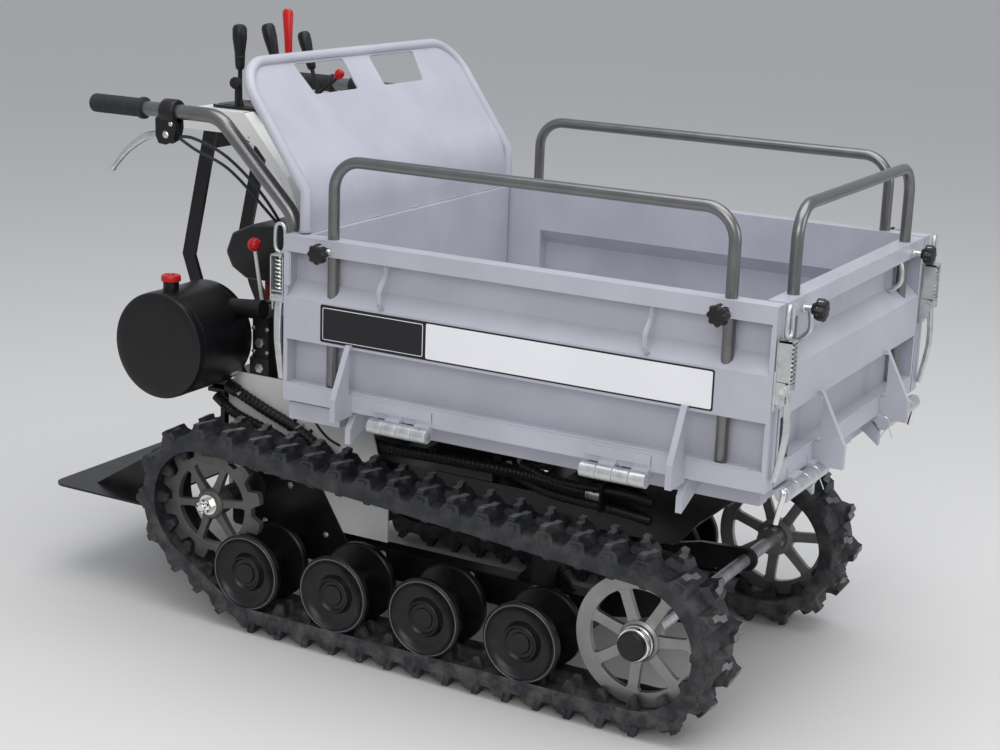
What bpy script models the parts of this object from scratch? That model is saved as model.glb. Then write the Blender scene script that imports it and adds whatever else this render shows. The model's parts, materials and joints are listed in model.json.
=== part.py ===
"""A small tracked dumper with a forward-tipping drop-side box. Metres, +X to the front, +Y left, +Z up.

Sizes are written from a working origin; set_on_ground() at the end moves every piece, so that the
ground is at z = 0 and the origin is below the middle of the whole machine.
"""

import math

import bmesh
import bpy
from mathutils import Matrix, Vector

# General clearances
SEAT = 0.0003
RUN = 0.0005
SWING = 0.006
GROUND = -0.0116

# Box
BOX_REAR = -0.1688
BOX_LENGTH = 0.9221
BOX_FRONT = BOX_REAR + BOX_LENGTH
BOX_HALF_WIDTH = 0.3909
PANEL = 0.033
SHEET = 0.003
FLANGE = 0.007
RIM_TOP = 0.7782
RIM_LOW = 0.7494
RIB_TOP = 0.6681
RIB_BEVEL_TOP = 0.6959
RIB_LOW = 0.5918
LEDGE_TOP = 0.5125
PANEL_LOW = 0.4788
REAR_WALL_INSET = 0.037
FLOOR_TOP = 0.480
BED_RAIL_LOW = 0.427
BED_RAIL_TOP = 0.4725
BED_RAIL_WIDTH = 0.032
BED_RAIL_OUT = 0.305
# Third cross member, ahead of the cylinder's eye
BED_CROSS_FRONT = 0.455
INSIDE = BOX_HALF_WIDTH - PANEL - SWING
GATE_HALF = BOX_HALF_WIDTH - PANEL - 0.0055

# Drop hinges of the sides and of the gate
HINGE_OUT = 0.0115
HINGE_Z = 0.466
HINGE_RADIUS = 0.013
LEAF_PROUD = 0.0015
LEAF_TALL = 0.026
CARRIER = 0.006
KNUCKLE_GAP = 0.0004
FIN_THICK = 0.011
FIN_OUT = 0.052
FIN_KNEE = 0.512
FIN_LOW = 0.4717
FIN_BACK = 0.142
GATE_FIN = 0.171
STOP_OUT = 0.0035
STOP_LOW = 0.420
STOP_TOP = 0.447

# Load rails
RAIL_RADIUS = 0.010
RAIL_BEND = 0.052
RAIL_TOP = 0.917
SIDE_RAIL_REAR = 0.094
SIDE_RAIL_FRONT = 0.084
GATE_RAIL_HALF = 0.285
KNOB_RADIUS = 0.016
KNOB_REACH = 0.040
KNOB_Z = 0.7594

# Height of the latches' pivots, at the front and at the rear
LATCH_Z = 0.6464
LATCH_REAR_Z = 0.6604
LATCH_HALF = 0.016
LATCH_DEEP = 0.026

# Headboard
GUARD_HALF = 0.372
GUARD_TUBE = 0.010
GUARD_SHEET = 0.004
GUARD_BEND_Z = 0.8545
GUARD_TOP_Z = 1.063
GUARD_LEAN = 0.150
GUARD_CORNER = 0.075
SLOT_HALF_GAP = 0.045
SLOT_LENGTH = 0.160
SLOT_TALL = 0.066
SLOT_DROP = 0.0125
SLOT_RAKE = 0.018

# Tracks
TRACK_OUT = 0.360
TRACK_WIDTH = 0.115
BELT = 0.022
LUG = 0.022
LUG_TAPER = 0.82
HORN = 0.024
HORN_NEAR = 0.009
HORN_FAR = 0.021
BELT_PITCHES = 42
WHEEL_PLANE = 0.3176
# Thickness of the wheels' flat discs, and the idler's flat facets round its rim
WEB_THICK = 0.012
IDLER_SIDES = 35
ROLLER_SIDES = 16
IDLER_X = 0.524
IDLER_RADIUS = 0.121
IDLER_Z = GROUND + BELT + LUG + IDLER_RADIUS + 0.0003
SPROCKET_X = -0.3845
SPROCKET_Z = 0.2193
SPROCKET_RADIUS = 0.119
SPROCKET_TEETH = 12
ROLLER_RADIUS = 0.0763
ROLLER_XS = (-0.281, -0.082, 0.1136, 0.312)
ROLLER_DISC = 0.016
ROLLER_OUTER = 0.356
ROLLER_INNER = 0.250
AXLE_RADIUS = 0.0125

# Chassis
CHASSIS_HALF = 0.125
CHASSIS_TUBE = 0.045
CHASSIS_LOW = 0.268
CHASSIS_REAR = -0.470
PIVOT_X = BOX_FRONT - 0.1283
PIVOT_Z = 0.430
PIVOT_HALF = 0.150
PIVOT_PLATE = 0.008
PIVOT_RADIUS = 0.015
CHASSIS_FRONT = PIVOT_X - 0.125
BEAM_HALF = 0.165
BEAM_WIDE = 0.040
BEAM_LOW = 0.092
BEAM_TALL = 0.058
DECK_TOP = 0.402
DECK_PLATE = 0.008
DECK_FRONT = -0.240
DECK_REAR = -0.500
COVER_PLANE = BEAM_HALF + BEAM_WIDE / 2 + SEAT
CHORD = 0.0015

# Tipping cylinder
CYL_BASE_X = -0.055
CYL_BASE_Z = 0.270
CYL_EYE_X = PIVOT_X - 0.260
CYL_EYE_Z = 0.410
CYL_BARREL_RADIUS = 0.027
CYL_BARREL_LENGTH = 0.285
CYL_ROD_RADIUS = 0.014
CYL_EYE_RADIUS = 0.019
CYL_EYE_HALF = 0.014
CYL_PIN_RADIUS = 0.0085
TILT_RANGE = 50.0

# Oil tank
OIL_X = -0.479
OIL_Z = 0.523
OIL_RADIUS = 0.1025
OIL_OUT = 0.365
OIL_IN = 0.200

# Handlebars and controls
BAR_RADIUS = 0.0138
BAR_HALF = 0.310
GRIP_RADIUS = 0.018
GRIP_LENGTH = 0.125
GRIP_REAR = -0.668
BAR_Z = 0.961
UPRIGHT_HALF = 0.090
UPRIGHT_DEEP = 0.030
UPRIGHT_THICK = 0.008
UPRIGHT_KNEE = -0.588
UPRIGHT_REAR = -0.620
UPRIGHT_HEAD = -0.562
CONSOLE_TOP = 0.9476
CONSOLE_LOW = CONSOLE_TOP - 0.0426
CONSOLE_HALF = 0.160
# Levers: foot's x and y, lean of the tip along x and y, height
LEVERS = (
    (-0.479, -0.110, -0.010, -0.010, 0.157),
    (-0.418, -0.040, -0.042, -0.010, 0.155),
    (-0.420, 0.082, -0.012, 0.008, 0.134),
)
RED_LEVER = (-0.462, 0.030, -0.012, 0.010, 0.180)

# The wrapped hoses' route under the bed, from the deck to the front cross member
HOSE_RADIUS = 0.013
HOSE_ROUTE = (
    (-0.2352, -0.133, 0.352),
    (-0.1800, -0.152, 0.350),
    (-0.1000, -0.166, 0.346),
    (0.0500, -0.169, 0.350),
    (0.2000, -0.172, 0.352),
    (0.3000, -0.174, 0.344),
    (0.3720, -0.174, 0.342),
)
BULKHEAD = 0.006

# Footboard
FOOT_HINGE_X = -0.570
FOOT_HINGE_Z = 0.260
FOOT_REAR = -0.7935
FOOT_Z = 0.183
FOOT_HALF = 0.320
FOOT_SHEET = 0.004
FOOT_CORNER = 0.030
FOOT_TUBE = 0.262
FOOT_TUBE_RADIUS = 0.012
FOOT_PIN = 0.0065
FOOT_ARM = 0.008

COLOURS = {
    "box_paint": ((0.50, 0.50, 0.55), 0.45, 0.0),
    "black_paint": ((0.020, 0.020, 0.022), 0.45, 0.0),
    "rubber": ((0.028, 0.029, 0.033), 0.80, 0.0),
    "zinc": ((0.60, 0.60, 0.60), 0.35, 1.0),
    "bright_steel": ((0.70, 0.70, 0.70), 0.20, 1.0),
    "tube_steel": ((0.20, 0.20, 0.21), 0.35, 1.0),
    "raw_steel": ((0.22, 0.21, 0.20), 0.50, 1.0),
    "white_paint": ((0.80, 0.80, 0.78), 0.35, 0.0),
    "red_plastic": ((0.60, 0.02, 0.02), 0.35, 0.0),
    "black_plastic": ((0.018, 0.018, 0.020), 0.50, 0.0),
    "engine_metal": ((0.09, 0.09, 0.10), 0.55, 0.6),
}


def clear_scene():
    for obj in list(bpy.data.objects):
        bpy.data.objects.remove(obj, do_unlink=True)


def material(name):
    found = bpy.data.materials.get(name)
    if found:
        return found
    colour, roughness, metallic = COLOURS[name]
    made = bpy.data.materials.new(name)
    made.use_nodes = True
    shader = made.node_tree.nodes["Principled BSDF"]
    shader.inputs["Base Color"].default_value = (*colour, 1.0)
    shader.inputs["Roughness"].default_value = roughness
    shader.inputs["Metallic"].default_value = metallic
    return made


def mesh_of(bm):
    bmesh.ops.recalc_face_normals(bm, faces=bm.faces)
    mesh = bpy.data.meshes.new("shape")
    bm.to_mesh(mesh)
    bm.free()
    return mesh


def box(low, high):
    """A block between two corners."""
    bm = bmesh.new()
    size = [high[i] - low[i] for i in range(3)]
    middle = [(high[i] + low[i]) / 2 for i in range(3)]
    bmesh.ops.create_cube(bm, size=1.0, matrix=Matrix.Translation(middle) @ Matrix.Diagonal((*size, 1.0)))
    return mesh_of(bm)


AXES = {"x": (1, 2, 0), "y": (0, 2, 1), "z": (0, 1, 2)}


def prism(outline, axis, low, high):
    """An outline drawn out along an axis: "y" takes (x, z), "x" takes (y, z), "z" takes (x, y)."""
    first, second, third = AXES[axis]
    bm = bmesh.new()
    rows = []
    for level in (low, high):
        row = []
        for point in outline:
            place = [0.0, 0.0, 0.0]
            place[first], place[second], place[third] = point[0], point[1], level
            row.append(bm.verts.new(place))
        rows.append(row)
    bm.faces.new(rows[0])
    bm.faces.new(list(reversed(rows[1])))
    count = len(outline)
    for i in range(count):
        j = (i + 1) % count
        bm.faces.new((rows[0][i], rows[1][i], rows[1][j], rows[0][j]))
    return mesh_of(bm)


def basis(direction):
    return Vector(direction).to_track_quat("Z", "Y").to_matrix().to_4x4()


def rod(start, end, radius, sides=12, end_radius=None):
    """A round bar from one point to another, straight or tapered."""
    start, end = Vector(start), Vector(end)
    length = (end - start).length
    place = Matrix.Translation((start + end) / 2) @ basis(end - start)
    bm = bmesh.new()
    last = radius if end_radius is None else end_radius
    bmesh.ops.create_cone(
        bm, cap_ends=True, segments=sides, radius1=radius, radius2=last, depth=length, matrix=place
    )
    return mesh_of(bm)


def turned(profile, centre, axis, sides=20):
    """A closed turned form: profile is (distance along the axis, radius) from one end to the other."""
    bm = bmesh.new()
    place = Matrix.Translation(centre) @ basis(axis)
    rings = []
    for along, radius in profile:
        if radius <= 0.0:
            rings.append([bm.verts.new(place @ Vector((0.0, 0.0, along)))])
            continue
        ring = []
        for i in range(sides):
            angle = 2 * math.pi * i / sides
            ring.append(
                bm.verts.new(place @ Vector((radius * math.cos(angle), radius * math.sin(angle), along)))
            )
        rings.append(ring)
    for a, b in zip(rings, rings[1:]):
        for i in range(sides):
            j = (i + 1) % sides
            if len(a) == 1:
                bm.faces.new((a[0], b[i], b[j]))
            elif len(b) == 1:
                bm.faces.new((a[i], b[0], a[j]))
            else:
                bm.faces.new((a[i], b[i], b[j], a[j]))
    for ring in (rings[0], rings[-1]):
        if len(ring) > 1:
            bm.faces.new(ring)
    return mesh_of(bm)


def rounded(points, radius, steps=3):
    """An open route through points, each inner corner replaced by an arc of this radius."""
    points = [Vector(p) for p in points]
    route = [points[0]]
    for before, corner, after in zip(points, points[1:], points[2:]):
        inward, outward = (before - corner).normalized(), (after - corner).normalized()
        opening = inward.angle(outward)
        trim = radius / math.tan(opening / 2)
        centre = corner + (inward + outward).normalized() * radius / math.sin(opening / 2)
        first = corner + inward * trim - centre
        last = corner + outward * trim - centre
        sweep = first.angle(last)
        for i in range(steps + 1):
            t = i / steps
            mix = (first * math.sin((1 - t) * sweep) + last * math.sin(t * sweep)) / math.sin(sweep)
            route.append(centre + mix)
    route.append(points[-1])
    return route


def tube(route, radius, sides=8):
    """A solid round bar swept along a route."""
    route = [Vector(p) for p in route]
    bm = bmesh.new()
    rings = []
    side = None
    for i, point in enumerate(route):
        ahead = (route[min(i + 1, len(route) - 1)] - route[max(i - 1, 0)]).normalized()
        if side is None:
            side = ahead.orthogonal().normalized()
        side = (side - ahead * side.dot(ahead)).normalized()
        other = ahead.cross(side)
        ring = []
        for k in range(sides):
            angle = 2 * math.pi * k / sides
            ring.append(bm.verts.new(point + (side * math.cos(angle) + other * math.sin(angle)) * radius))
        rings.append(ring)
    for a, b in zip(rings, rings[1:]):
        for k in range(sides):
            j = (k + 1) % sides
            bm.faces.new((a[k], b[k], b[j], a[j]))
    bm.faces.new(rings[0])
    bm.faces.new(list(reversed(rings[-1])))
    return mesh_of(bm)


def closed_tube(loop, radius, normal, sides=5):
    """A link: a round bar along a flat closed loop whose plane has this normal."""
    loop = [Vector(p) for p in loop]
    normal = Vector(normal).normalized()
    bm = bmesh.new()
    rings = []
    for i, point in enumerate(loop):
        ahead = (loop[(i + 1) % len(loop)] - loop[i - 1]).normalized()
        outward = ahead.cross(normal)
        ring = []
        for k in range(sides):
            angle = 2 * math.pi * k / sides
            ring.append(
                bm.verts.new(point + (outward * math.cos(angle) + normal * math.sin(angle)) * radius)
            )
        rings.append(ring)
    for a, b in zip(rings, rings[1:] + rings[:1]):
        for k in range(sides):
            j = (k + 1) % sides
            bm.faces.new((a[k], b[k], b[j], a[j]))
    return mesh_of(bm)


def solid(name, shapes, finish, cuts=(), origin=(0.0, 0.0, 0.0), added=()):
    """One closed body: shapes joined, cuts taken out, further shapes joined, its origin on its axis or seat."""
    scene = bpy.context.scene.collection
    helpers = []
    body = bpy.data.objects.new(name, shapes[0])
    scene.objects.link(body)

    def operand(meshes, operation):
        if not meshes:
            return
        group = bpy.data.collections.new("operands")
        for mesh in meshes:
            helper = bpy.data.objects.new("operand", mesh)
            group.objects.link(helper)
            helpers.append(helper)
        scene.children.link(group)
        modifier = body.modifiers.new(operation, "BOOLEAN")
        modifier.operation = operation
        modifier.operand_type = "COLLECTION"
        modifier.collection = group
        modifier.solver = "EXACT"

    operand(list(shapes[1:]), "UNION")
    operand(list(cuts), "DIFFERENCE")
    operand(list(added), "UNION")
    if body.modifiers:
        bpy.context.view_layer.update()
        graph = bpy.context.evaluated_depsgraph_get()
        made = bpy.data.meshes.new_from_object(body.evaluated_get(graph))
        body.modifiers.clear()
        body.data = made
    for helper in helpers:
        bpy.data.objects.remove(helper, do_unlink=True)
    for group in list(scene.children):
        bpy.data.collections.remove(group)
    shift = Vector(origin)
    body.data.transform(Matrix.Translation(-shift))
    body.location = shift
    body.data.materials.clear()
    body.data.materials.append(material(finish))
    body.data.shade_smooth()
    body.data.set_sharp_from_angle(angle=math.radians(30))
    return body


def mirrored(name, source):
    """The same piece on the other side of the machine."""
    twin = bpy.data.objects.new(name, source.data.copy())
    twin.data.transform(Matrix.Diagonal((1.0, -1.0, 1.0, 1.0)))
    twin.data.flip_normals()
    twin.location = (source.location.x, -source.location.y, source.location.z)
    bpy.context.scene.collection.objects.link(twin)
    return twin


def pair(build, stem):
    """The right-hand piece and its mirror image."""
    right = build(stem + "_right")
    return right, mirrored(stem + "_left", right)


def arc(centre, radius, start, end, steps):
    """Points of an arc in a plane, angles in degrees."""
    points = []
    for i in range(steps + 1):
        angle = math.radians(start + (end - start) * i / steps)
        points.append((centre[0] + radius * math.cos(angle), centre[1] + radius * math.sin(angle)))
    return points


def circle(centre, radius, sides):
    return arc(centre, radius, 0.0, 360.0 * (sides - 1) / sides, sides - 1)


def tangent_angle(low_centre, low_radius, high_centre, high_radius, upper):
    """Angle of the common outer tangent's normal, for the belt's straight runs."""
    dx, dz = high_centre[0] - low_centre[0], high_centre[1] - low_centre[1]
    span = math.hypot(dx, dz)
    lean = math.asin((low_radius - high_radius) / span)
    base = math.atan2(dz, dx)
    return base + math.pi / 2 - lean if upper else base - math.pi / 2 + lean


def belt_route():
    """The inner line of the track, a closed loop run clockwise seen from the right, at equal steps."""
    front, rear = (IDLER_X, IDLER_Z), (SPROCKET_X, SPROCKET_Z)
    flat_z = GROUND + BELT + LUG
    last_x = ROLLER_XS[0]
    top = tangent_angle(rear, SPROCKET_RADIUS, front, IDLER_RADIUS, True)
    low = (last_x, flat_z + ROLLER_RADIUS + CHORD)
    bend = ROLLER_RADIUS + CHORD
    rise = tangent_angle(rear, SPROCKET_RADIUS, low, bend, False)
    corners = []
    for step in range(25):
        angle = top + (-math.pi / 2 - top) * step / 24
        corners.append(
            (front[0] + IDLER_RADIUS * math.cos(angle), front[1] + IDLER_RADIUS * math.sin(angle))
        )
    for step in range(7):
        angle = -math.pi / 2 + (rise + math.pi / 2) * step / 6
        corners.append((low[0] + bend * math.cos(angle), low[1] + bend * math.sin(angle)))
    for step in range(25):
        angle = rise + (top - 2 * math.pi - rise) * step / 24
        corners.append(
            (rear[0] + SPROCKET_RADIUS * math.cos(angle), rear[1] + SPROCKET_RADIUS * math.sin(angle))
        )
    return equal_steps(corners, 2 * BELT_PITCHES)


def equal_steps(corners, count):
    closed = corners + corners[:1]
    lengths = [math.dist(a, b) for a, b in zip(closed, closed[1:])]
    total = sum(lengths)
    points = []
    edge, gone = 0, 0.0
    for i in range(count):
        target = total * i / count
        while gone + lengths[edge] < target:
            gone += lengths[edge]
            edge += 1
        t = (target - gone) / lengths[edge]
        a, b = closed[edge], closed[edge + 1]
        points.append((a[0] + (b[0] - a[0]) * t, a[1] + (b[1] - a[1]) * t))
    return points


def track(name):
    """The rubber loop with a staggered lug on each half and two rows of guide horns."""
    route = belt_route()
    count = len(route)
    outer, inner = [], []
    # Columns across the belt, as shares of its width from the outer edge
    outer_columns = (0.0, 0.46, 0.54, 1.0)
    plane = TRACK_OUT - WHEEL_PLANE
    horn_rows = (0.0, plane - HORN_FAR, plane - HORN_NEAR, plane + HORN_NEAR, plane + HORN_FAR, TRACK_WIDTH)
    bm = bmesh.new()
    for i, (x, z) in enumerate(route):
        ahead, behind = route[(i + 1) % count], route[i - 1]
        along = Vector((ahead[0] - behind[0], ahead[1] - behind[1])).normalized()
        out = Vector((-along.y, along.x))
        out_point = Vector((x, z)) + out * BELT
        inner.append([bm.verts.new((x, -TRACK_OUT + y, z)) for y in horn_rows])
        columns = [-TRACK_OUT + share * TRACK_WIDTH for share in outer_columns]
        outer.append([bm.verts.new((out_point.x, y, out_point.y)) for y in columns])
    lugs, horns = [], []
    for i in range(count):
        j = (i + 1) % count
        for k in range(3):
            face = bm.faces.new((outer[i][k], outer[j][k], outer[j][k + 1], outer[i][k + 1]))
            if (k == 0 and i % 2 == 0) or (k == 2 and i % 2 == 1):
                lugs.append(face)
        for k in range(5):
            face = bm.faces.new((inner[i][k], inner[i][k + 1], inner[j][k + 1], inner[j][k]))
            if k in (1, 3) and i % 2 == 0:
                horns.append(face)
        bm.faces.new((outer[i][0], inner[i][0], inner[j][0], outer[j][0]))
        bm.faces.new((outer[j][3], inner[j][5], inner[i][5], outer[i][3]))
    bmesh.ops.recalc_face_normals(bm, faces=bm.faces)
    for face in lugs:
        normal = face.normal.copy()
        made = bmesh.ops.extrude_discrete_faces(bm, faces=[face])["faces"][0]
        centre = made.calc_center_median()
        for vert in made.verts:
            vert.co = centre + (vert.co - centre) * LUG_TAPER + normal * LUG
    for face in horns:
        ridge_on(bm, face, HORN)
    low = min(vert.co.z for vert in bm.verts)
    for vert in bm.verts:
        if vert.co.z < low + LUG / 5:
            vert.co.z = GROUND
    mesh = bpy.data.meshes.new("track")
    bm.to_mesh(mesh)
    bm.free()
    return solid(name, [mesh], "rubber")


def ridge_on(bm, face, height):
    """Replaces one face of the belt by a guide horn with its ridge across the belt."""
    near_side = sorted(face.verts, key=lambda vert: vert.co.y)
    low, high = near_side[:2], near_side[2:]
    tips = []
    for edge in (low, high):
        tips.append(bm.verts.new((edge[0].co + edge[1].co) / 2 + face.normal * height))
    loop = [vert for vert in face.verts]
    bm.faces.remove(face)
    for a, b in zip(loop, loop[1:] + loop[:1]):
        tip_a = tips[0] if a in low else tips[1]
        tip_b = tips[0] if b in low else tips[1]
        bm.faces.new((a, b, tip_a) if tip_a == tip_b else (a, b, tip_b, tip_a))


def spoke_windows(centre, plane, thick, outer, rim, hub, spokes, spoke_width):
    """Cuts that leave straight spokes between a flat wheel's rim and hub, in a plane y = const."""
    low, high = plane - thick / 2, plane + thick / 2
    cuts = []
    for i in range(spokes):
        start = 360.0 * i / spokes + 8.0
        half = math.degrees(math.asin(spoke_width / 2 / hub))
        outer_half = math.degrees(math.asin(spoke_width / 2 / (outer - rim)))
        window = arc(centre, outer - rim, start + outer_half, start + 360.0 / spokes - outer_half, 4)
        window += list(reversed(arc(centre, hub, start + half, start + 360.0 / spokes - half, 1)))
        cuts.append(prism(window, "y", low - 0.01, high + 0.01))
    return cuts


def idler(name):
    """Front wheel: a flat spoked disc on a stepped hub."""
    centre = (IDLER_X, IDLER_Z)
    radius = IDLER_RADIUS - CHORD
    low, high = -WHEEL_PLANE - WEB_THICK / 2, -WHEEL_PLANE + WEB_THICK / 2
    shapes = [prism(circle(centre, radius, IDLER_SIDES), "y", low, high)]
    cuts = spoke_windows(centre, -WHEEL_PLANE, WEB_THICK, radius, 0.030, 0.040, 7, 0.020)
    # Hub profile from the inner end to the outer end: (distance outward from the wheel plane, radius)
    hub = [
        (-0.045, 0.026), (-0.012, 0.026), (-0.012, 0.031), (0.014, 0.031), (0.014, 0.029),
        (0.030, 0.029), (0.030, 0.026), (0.040, 0.026),
    ]
    shapes.append(turned(hub, (IDLER_X, -WHEEL_PLANE, IDLER_Z), (0, -1, 0), 14))
    bore = rod(
        (IDLER_X, -WHEEL_PLANE + 0.06, IDLER_Z), (IDLER_X, -WHEEL_PLANE - 0.030, IDLER_Z),
        AXLE_RADIUS + SEAT, 16,
    )
    return solid(name, shapes, "raw_steel", cuts + [bore])


def sprocket(name):
    """Rear driving wheel: a toothed six-spoke casting with its washer and nut."""
    centre = (SPROCKET_X, SPROCKET_Z)
    root = SPROCKET_RADIUS - 0.022
    outline = []
    for i in range(SPROCKET_TEETH):
        middle = 360.0 * (i + 0.5) / SPROCKET_TEETH
        for angle, radius in (
            (-9.0, root), (-4.5, SPROCKET_RADIUS - 0.003), (0.0, SPROCKET_RADIUS - CHORD),
            (4.5, SPROCKET_RADIUS - 0.003), (9.0, root),
        ):
            turn = math.radians(middle + angle)
            outline.append((centre[0] + radius * math.cos(turn), centre[1] + radius * math.sin(turn)))
    thick = WEB_THICK + 0.002
    cuts = spoke_windows(centre, -WHEEL_PLANE, thick, root, 0.014, 0.030, 6, 0.014)
    shapes = [prism(outline, "y", -WHEEL_PLANE - thick / 2, -WHEEL_PLANE + thick / 2)]
    # Hub, washer and nut: (distance outward from the wheel plane, radius)
    hub = [(-0.030, 0.024), (0.016, 0.024), (0.016, 0.021), (0.022, 0.021), (0.022, 0.014), (0.040, 0.012)]
    shapes.append(turned(hub, (SPROCKET_X, -WHEEL_PLANE, SPROCKET_Z), (0, -1, 0), 14))
    return solid(name, shapes, "raw_steel", cuts)


def roller_beam(name):
    """The beam inside the track with its four axles, each with a pair of dished discs."""
    low_z = GROUND + BELT + LUG + ROLLER_RADIUS + SEAT
    shapes = [
        box(
            (ROLLER_XS[0] - 0.050, -BEAM_HALF - BEAM_WIDE / 2, BEAM_LOW),
            (ROLLER_XS[-1] + 0.060, -BEAM_HALF + BEAM_WIDE / 2, BEAM_LOW + BEAM_TALL),
        ),
    ]
    outer = ROLLER_OUTER
    disc = ROLLER_RADIUS - CHORD
    inner = ROLLER_INNER
    # Outer disc, from its open face inward: (distance from the outer face, radius)
    dish = [
        (0.0, disc), (0.0, disc - 0.007), (0.009, 0.037), (-0.001, 0.031), (-0.001, 0.0),
        (ROLLER_DISC, 0.0), (ROLLER_DISC, disc),
    ]
    for x in ROLLER_XS:
        shapes.append(rod((x, -BEAM_HALF, low_z), (x, -outer + 0.008, low_z), 0.018, 12))
        shapes.append(roller_disc(dish, (x, -outer, low_z), (0, 1, 0)))
        shapes.append(rod((x, -inner - ROLLER_DISC, low_z), (x, -inner, low_z), disc, 12))
    # Two arms that carry the beam under the chassis, and the idler's fork
    for x in (ROLLER_XS[0] + 0.05, ROLLER_XS[3] - 0.05):
        shapes.append(
            box(
                (x - 0.025, -BEAM_HALF - 0.015, BEAM_LOW + 0.015),
                (x + 0.025, -CHASSIS_HALF - CHASSIS_TUBE / 2 + 0.010, CHASSIS_LOW - SEAT),
            )
        )
    shapes.append(
        box(
            (ROLLER_XS[3] + 0.03, -BEAM_HALF - 0.018, BEAM_LOW + 0.010),
            (IDLER_X + 0.030, -BEAM_HALF + 0.012, IDLER_Z + 0.030),
        )
    )
    bore = rod(
        (IDLER_X, -BEAM_HALF - 0.05, IDLER_Z), (IDLER_X, -BEAM_HALF + 0.05, IDLER_Z),
        AXLE_RADIUS + SEAT, 16,
    )
    return solid(name, shapes, "black_paint", [bore])


def roller_disc(profile, centre, axis):
    """A dished disc whose profile doubles back over its own depth."""
    bm = bmesh.new()
    place = Matrix.Translation(centre) @ basis(axis)
    turns = [2 * math.pi * i / ROLLER_SIDES for i in range(ROLLER_SIDES)]
    rings = []
    for along, radius in profile:
        if radius <= 0.0:
            rings.append([bm.verts.new(place @ Vector((0.0, 0.0, along)))])
        else:
            ring = [(radius * math.cos(turn), radius * math.sin(turn), along) for turn in turns]
            rings.append([bm.verts.new(place @ Vector(point)) for point in ring])
    closed = rings + rings[:1]
    for a, b in zip(closed, closed[1:]):
        for i in range(ROLLER_SIDES):
            j = (i + 1) % ROLLER_SIDES
            if len(a) == 1 and len(b) == 1:
                continue
            if len(a) == 1:
                bm.faces.new((a[0], b[i], b[j]))
            elif len(b) == 1:
                bm.faces.new((a[i], b[0], a[j]))
            else:
                bm.faces.new((a[i], b[i], b[j], a[j]))
    return mesh_of(bm)


def front_axle(name):
    """The bright cross tube that carries both front wheels."""
    reach = WHEEL_PLANE + 0.028
    return solid(
        name, [rod((IDLER_X, -reach, IDLER_Z), (IDLER_X, reach, IDLER_Z), AXLE_RADIUS, 16)],
        "bright_steel",
    )


def chassis(name):
    """Two long tubes, cross members, front pivot plates, cylinder ears and the posts under the bed."""
    top = CHASSIS_LOW + CHASSIS_TUBE
    half = CHASSIS_TUBE / 2
    ear_side = PIVOT_PLATE / 2
    shapes = []
    for side in (-1, 1):
        y = side * CHASSIS_HALF
        shapes.append(box((CHASSIS_REAR, y - half, CHASSIS_LOW), (CHASSIS_FRONT, y + half, top)))
        low, high = sorted((side * (PIVOT_HALF + ear_side), side * (PIVOT_HALF - ear_side)))
        plate = [(CHASSIS_FRONT - 0.190, CHASSIS_LOW + 0.005), (CHASSIS_FRONT - 0.140, 0.375)]
        plate += [(PIVOT_X - 0.050, 0.405), (PIVOT_X - 0.020, PIVOT_Z + 0.030)]
        plate += arc((PIVOT_X, PIVOT_Z), 0.034, 90.0, -50.0, 6)
        plate += [(CHASSIS_FRONT + 0.050, 0.322), (CHASSIS_FRONT + 0.010, CHASSIS_LOW + 0.005)]
        shapes.append(prism(plate, "y", low, high))
    for x in (CHASSIS_REAR + half, -0.110, 0.200, CHASSIS_FRONT - half):
        low, high = (x - half, -CHASSIS_HALF, CHASSIS_LOW + 0.004), (x + half, CHASSIS_HALF, top - 0.004)
        shapes.append(box(low, high))
    # Posts on which the lowered bed rests
    for side in (-1, 1):
        low_y, high_y = sorted((side * (CHASSIS_HALF - 0.010), side * (CHASSIS_HALF + half - 0.002)))
        shapes.append(box((0.010, low_y, top - 0.010), (0.130, high_y, BED_RAIL_LOW - SEAT)))
    # Bulkhead plate that takes the wrapped hoses' front end
    end_x, end_y, end_z = HOSE_ROUTE[-1]
    tall = 2 * HOSE_RADIUS
    low = (end_x + SEAT, end_y - tall * 0.7, end_z - tall)
    shapes.append(box(low, (end_x + SEAT + BULKHEAD, -PIVOT_HALF, end_z + tall)))
    # Ears of the cylinder's base on the cross member behind them
    for side in (-1, 1):
        low, high = sorted((side * (CYL_EYE_HALF + RUN), side * (CYL_EYE_HALF + 0.010)))
        ear = [(CYL_BASE_X - 0.050, CHASSIS_LOW + 0.008), (CYL_BASE_X - 0.050, top - 0.008)]
        ear += arc((CYL_BASE_X, CYL_BASE_Z), 0.020, 90.0, -90.0, 6)
        shapes.append(prism(ear, "y", low, high))
    reach = CYL_EYE_HALF + 0.014
    shapes.append(
        rod((CYL_BASE_X, -reach, CYL_BASE_Z), (CYL_BASE_X, reach, CYL_BASE_Z), CYL_PIN_RADIUS, 12)
    )
    holes = [prism(circle((PIVOT_X, PIVOT_Z), PIVOT_RADIUS + RUN, 20), "y", -0.3, 0.3)]
    return solid(name, shapes, "black_paint", holes)


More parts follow.
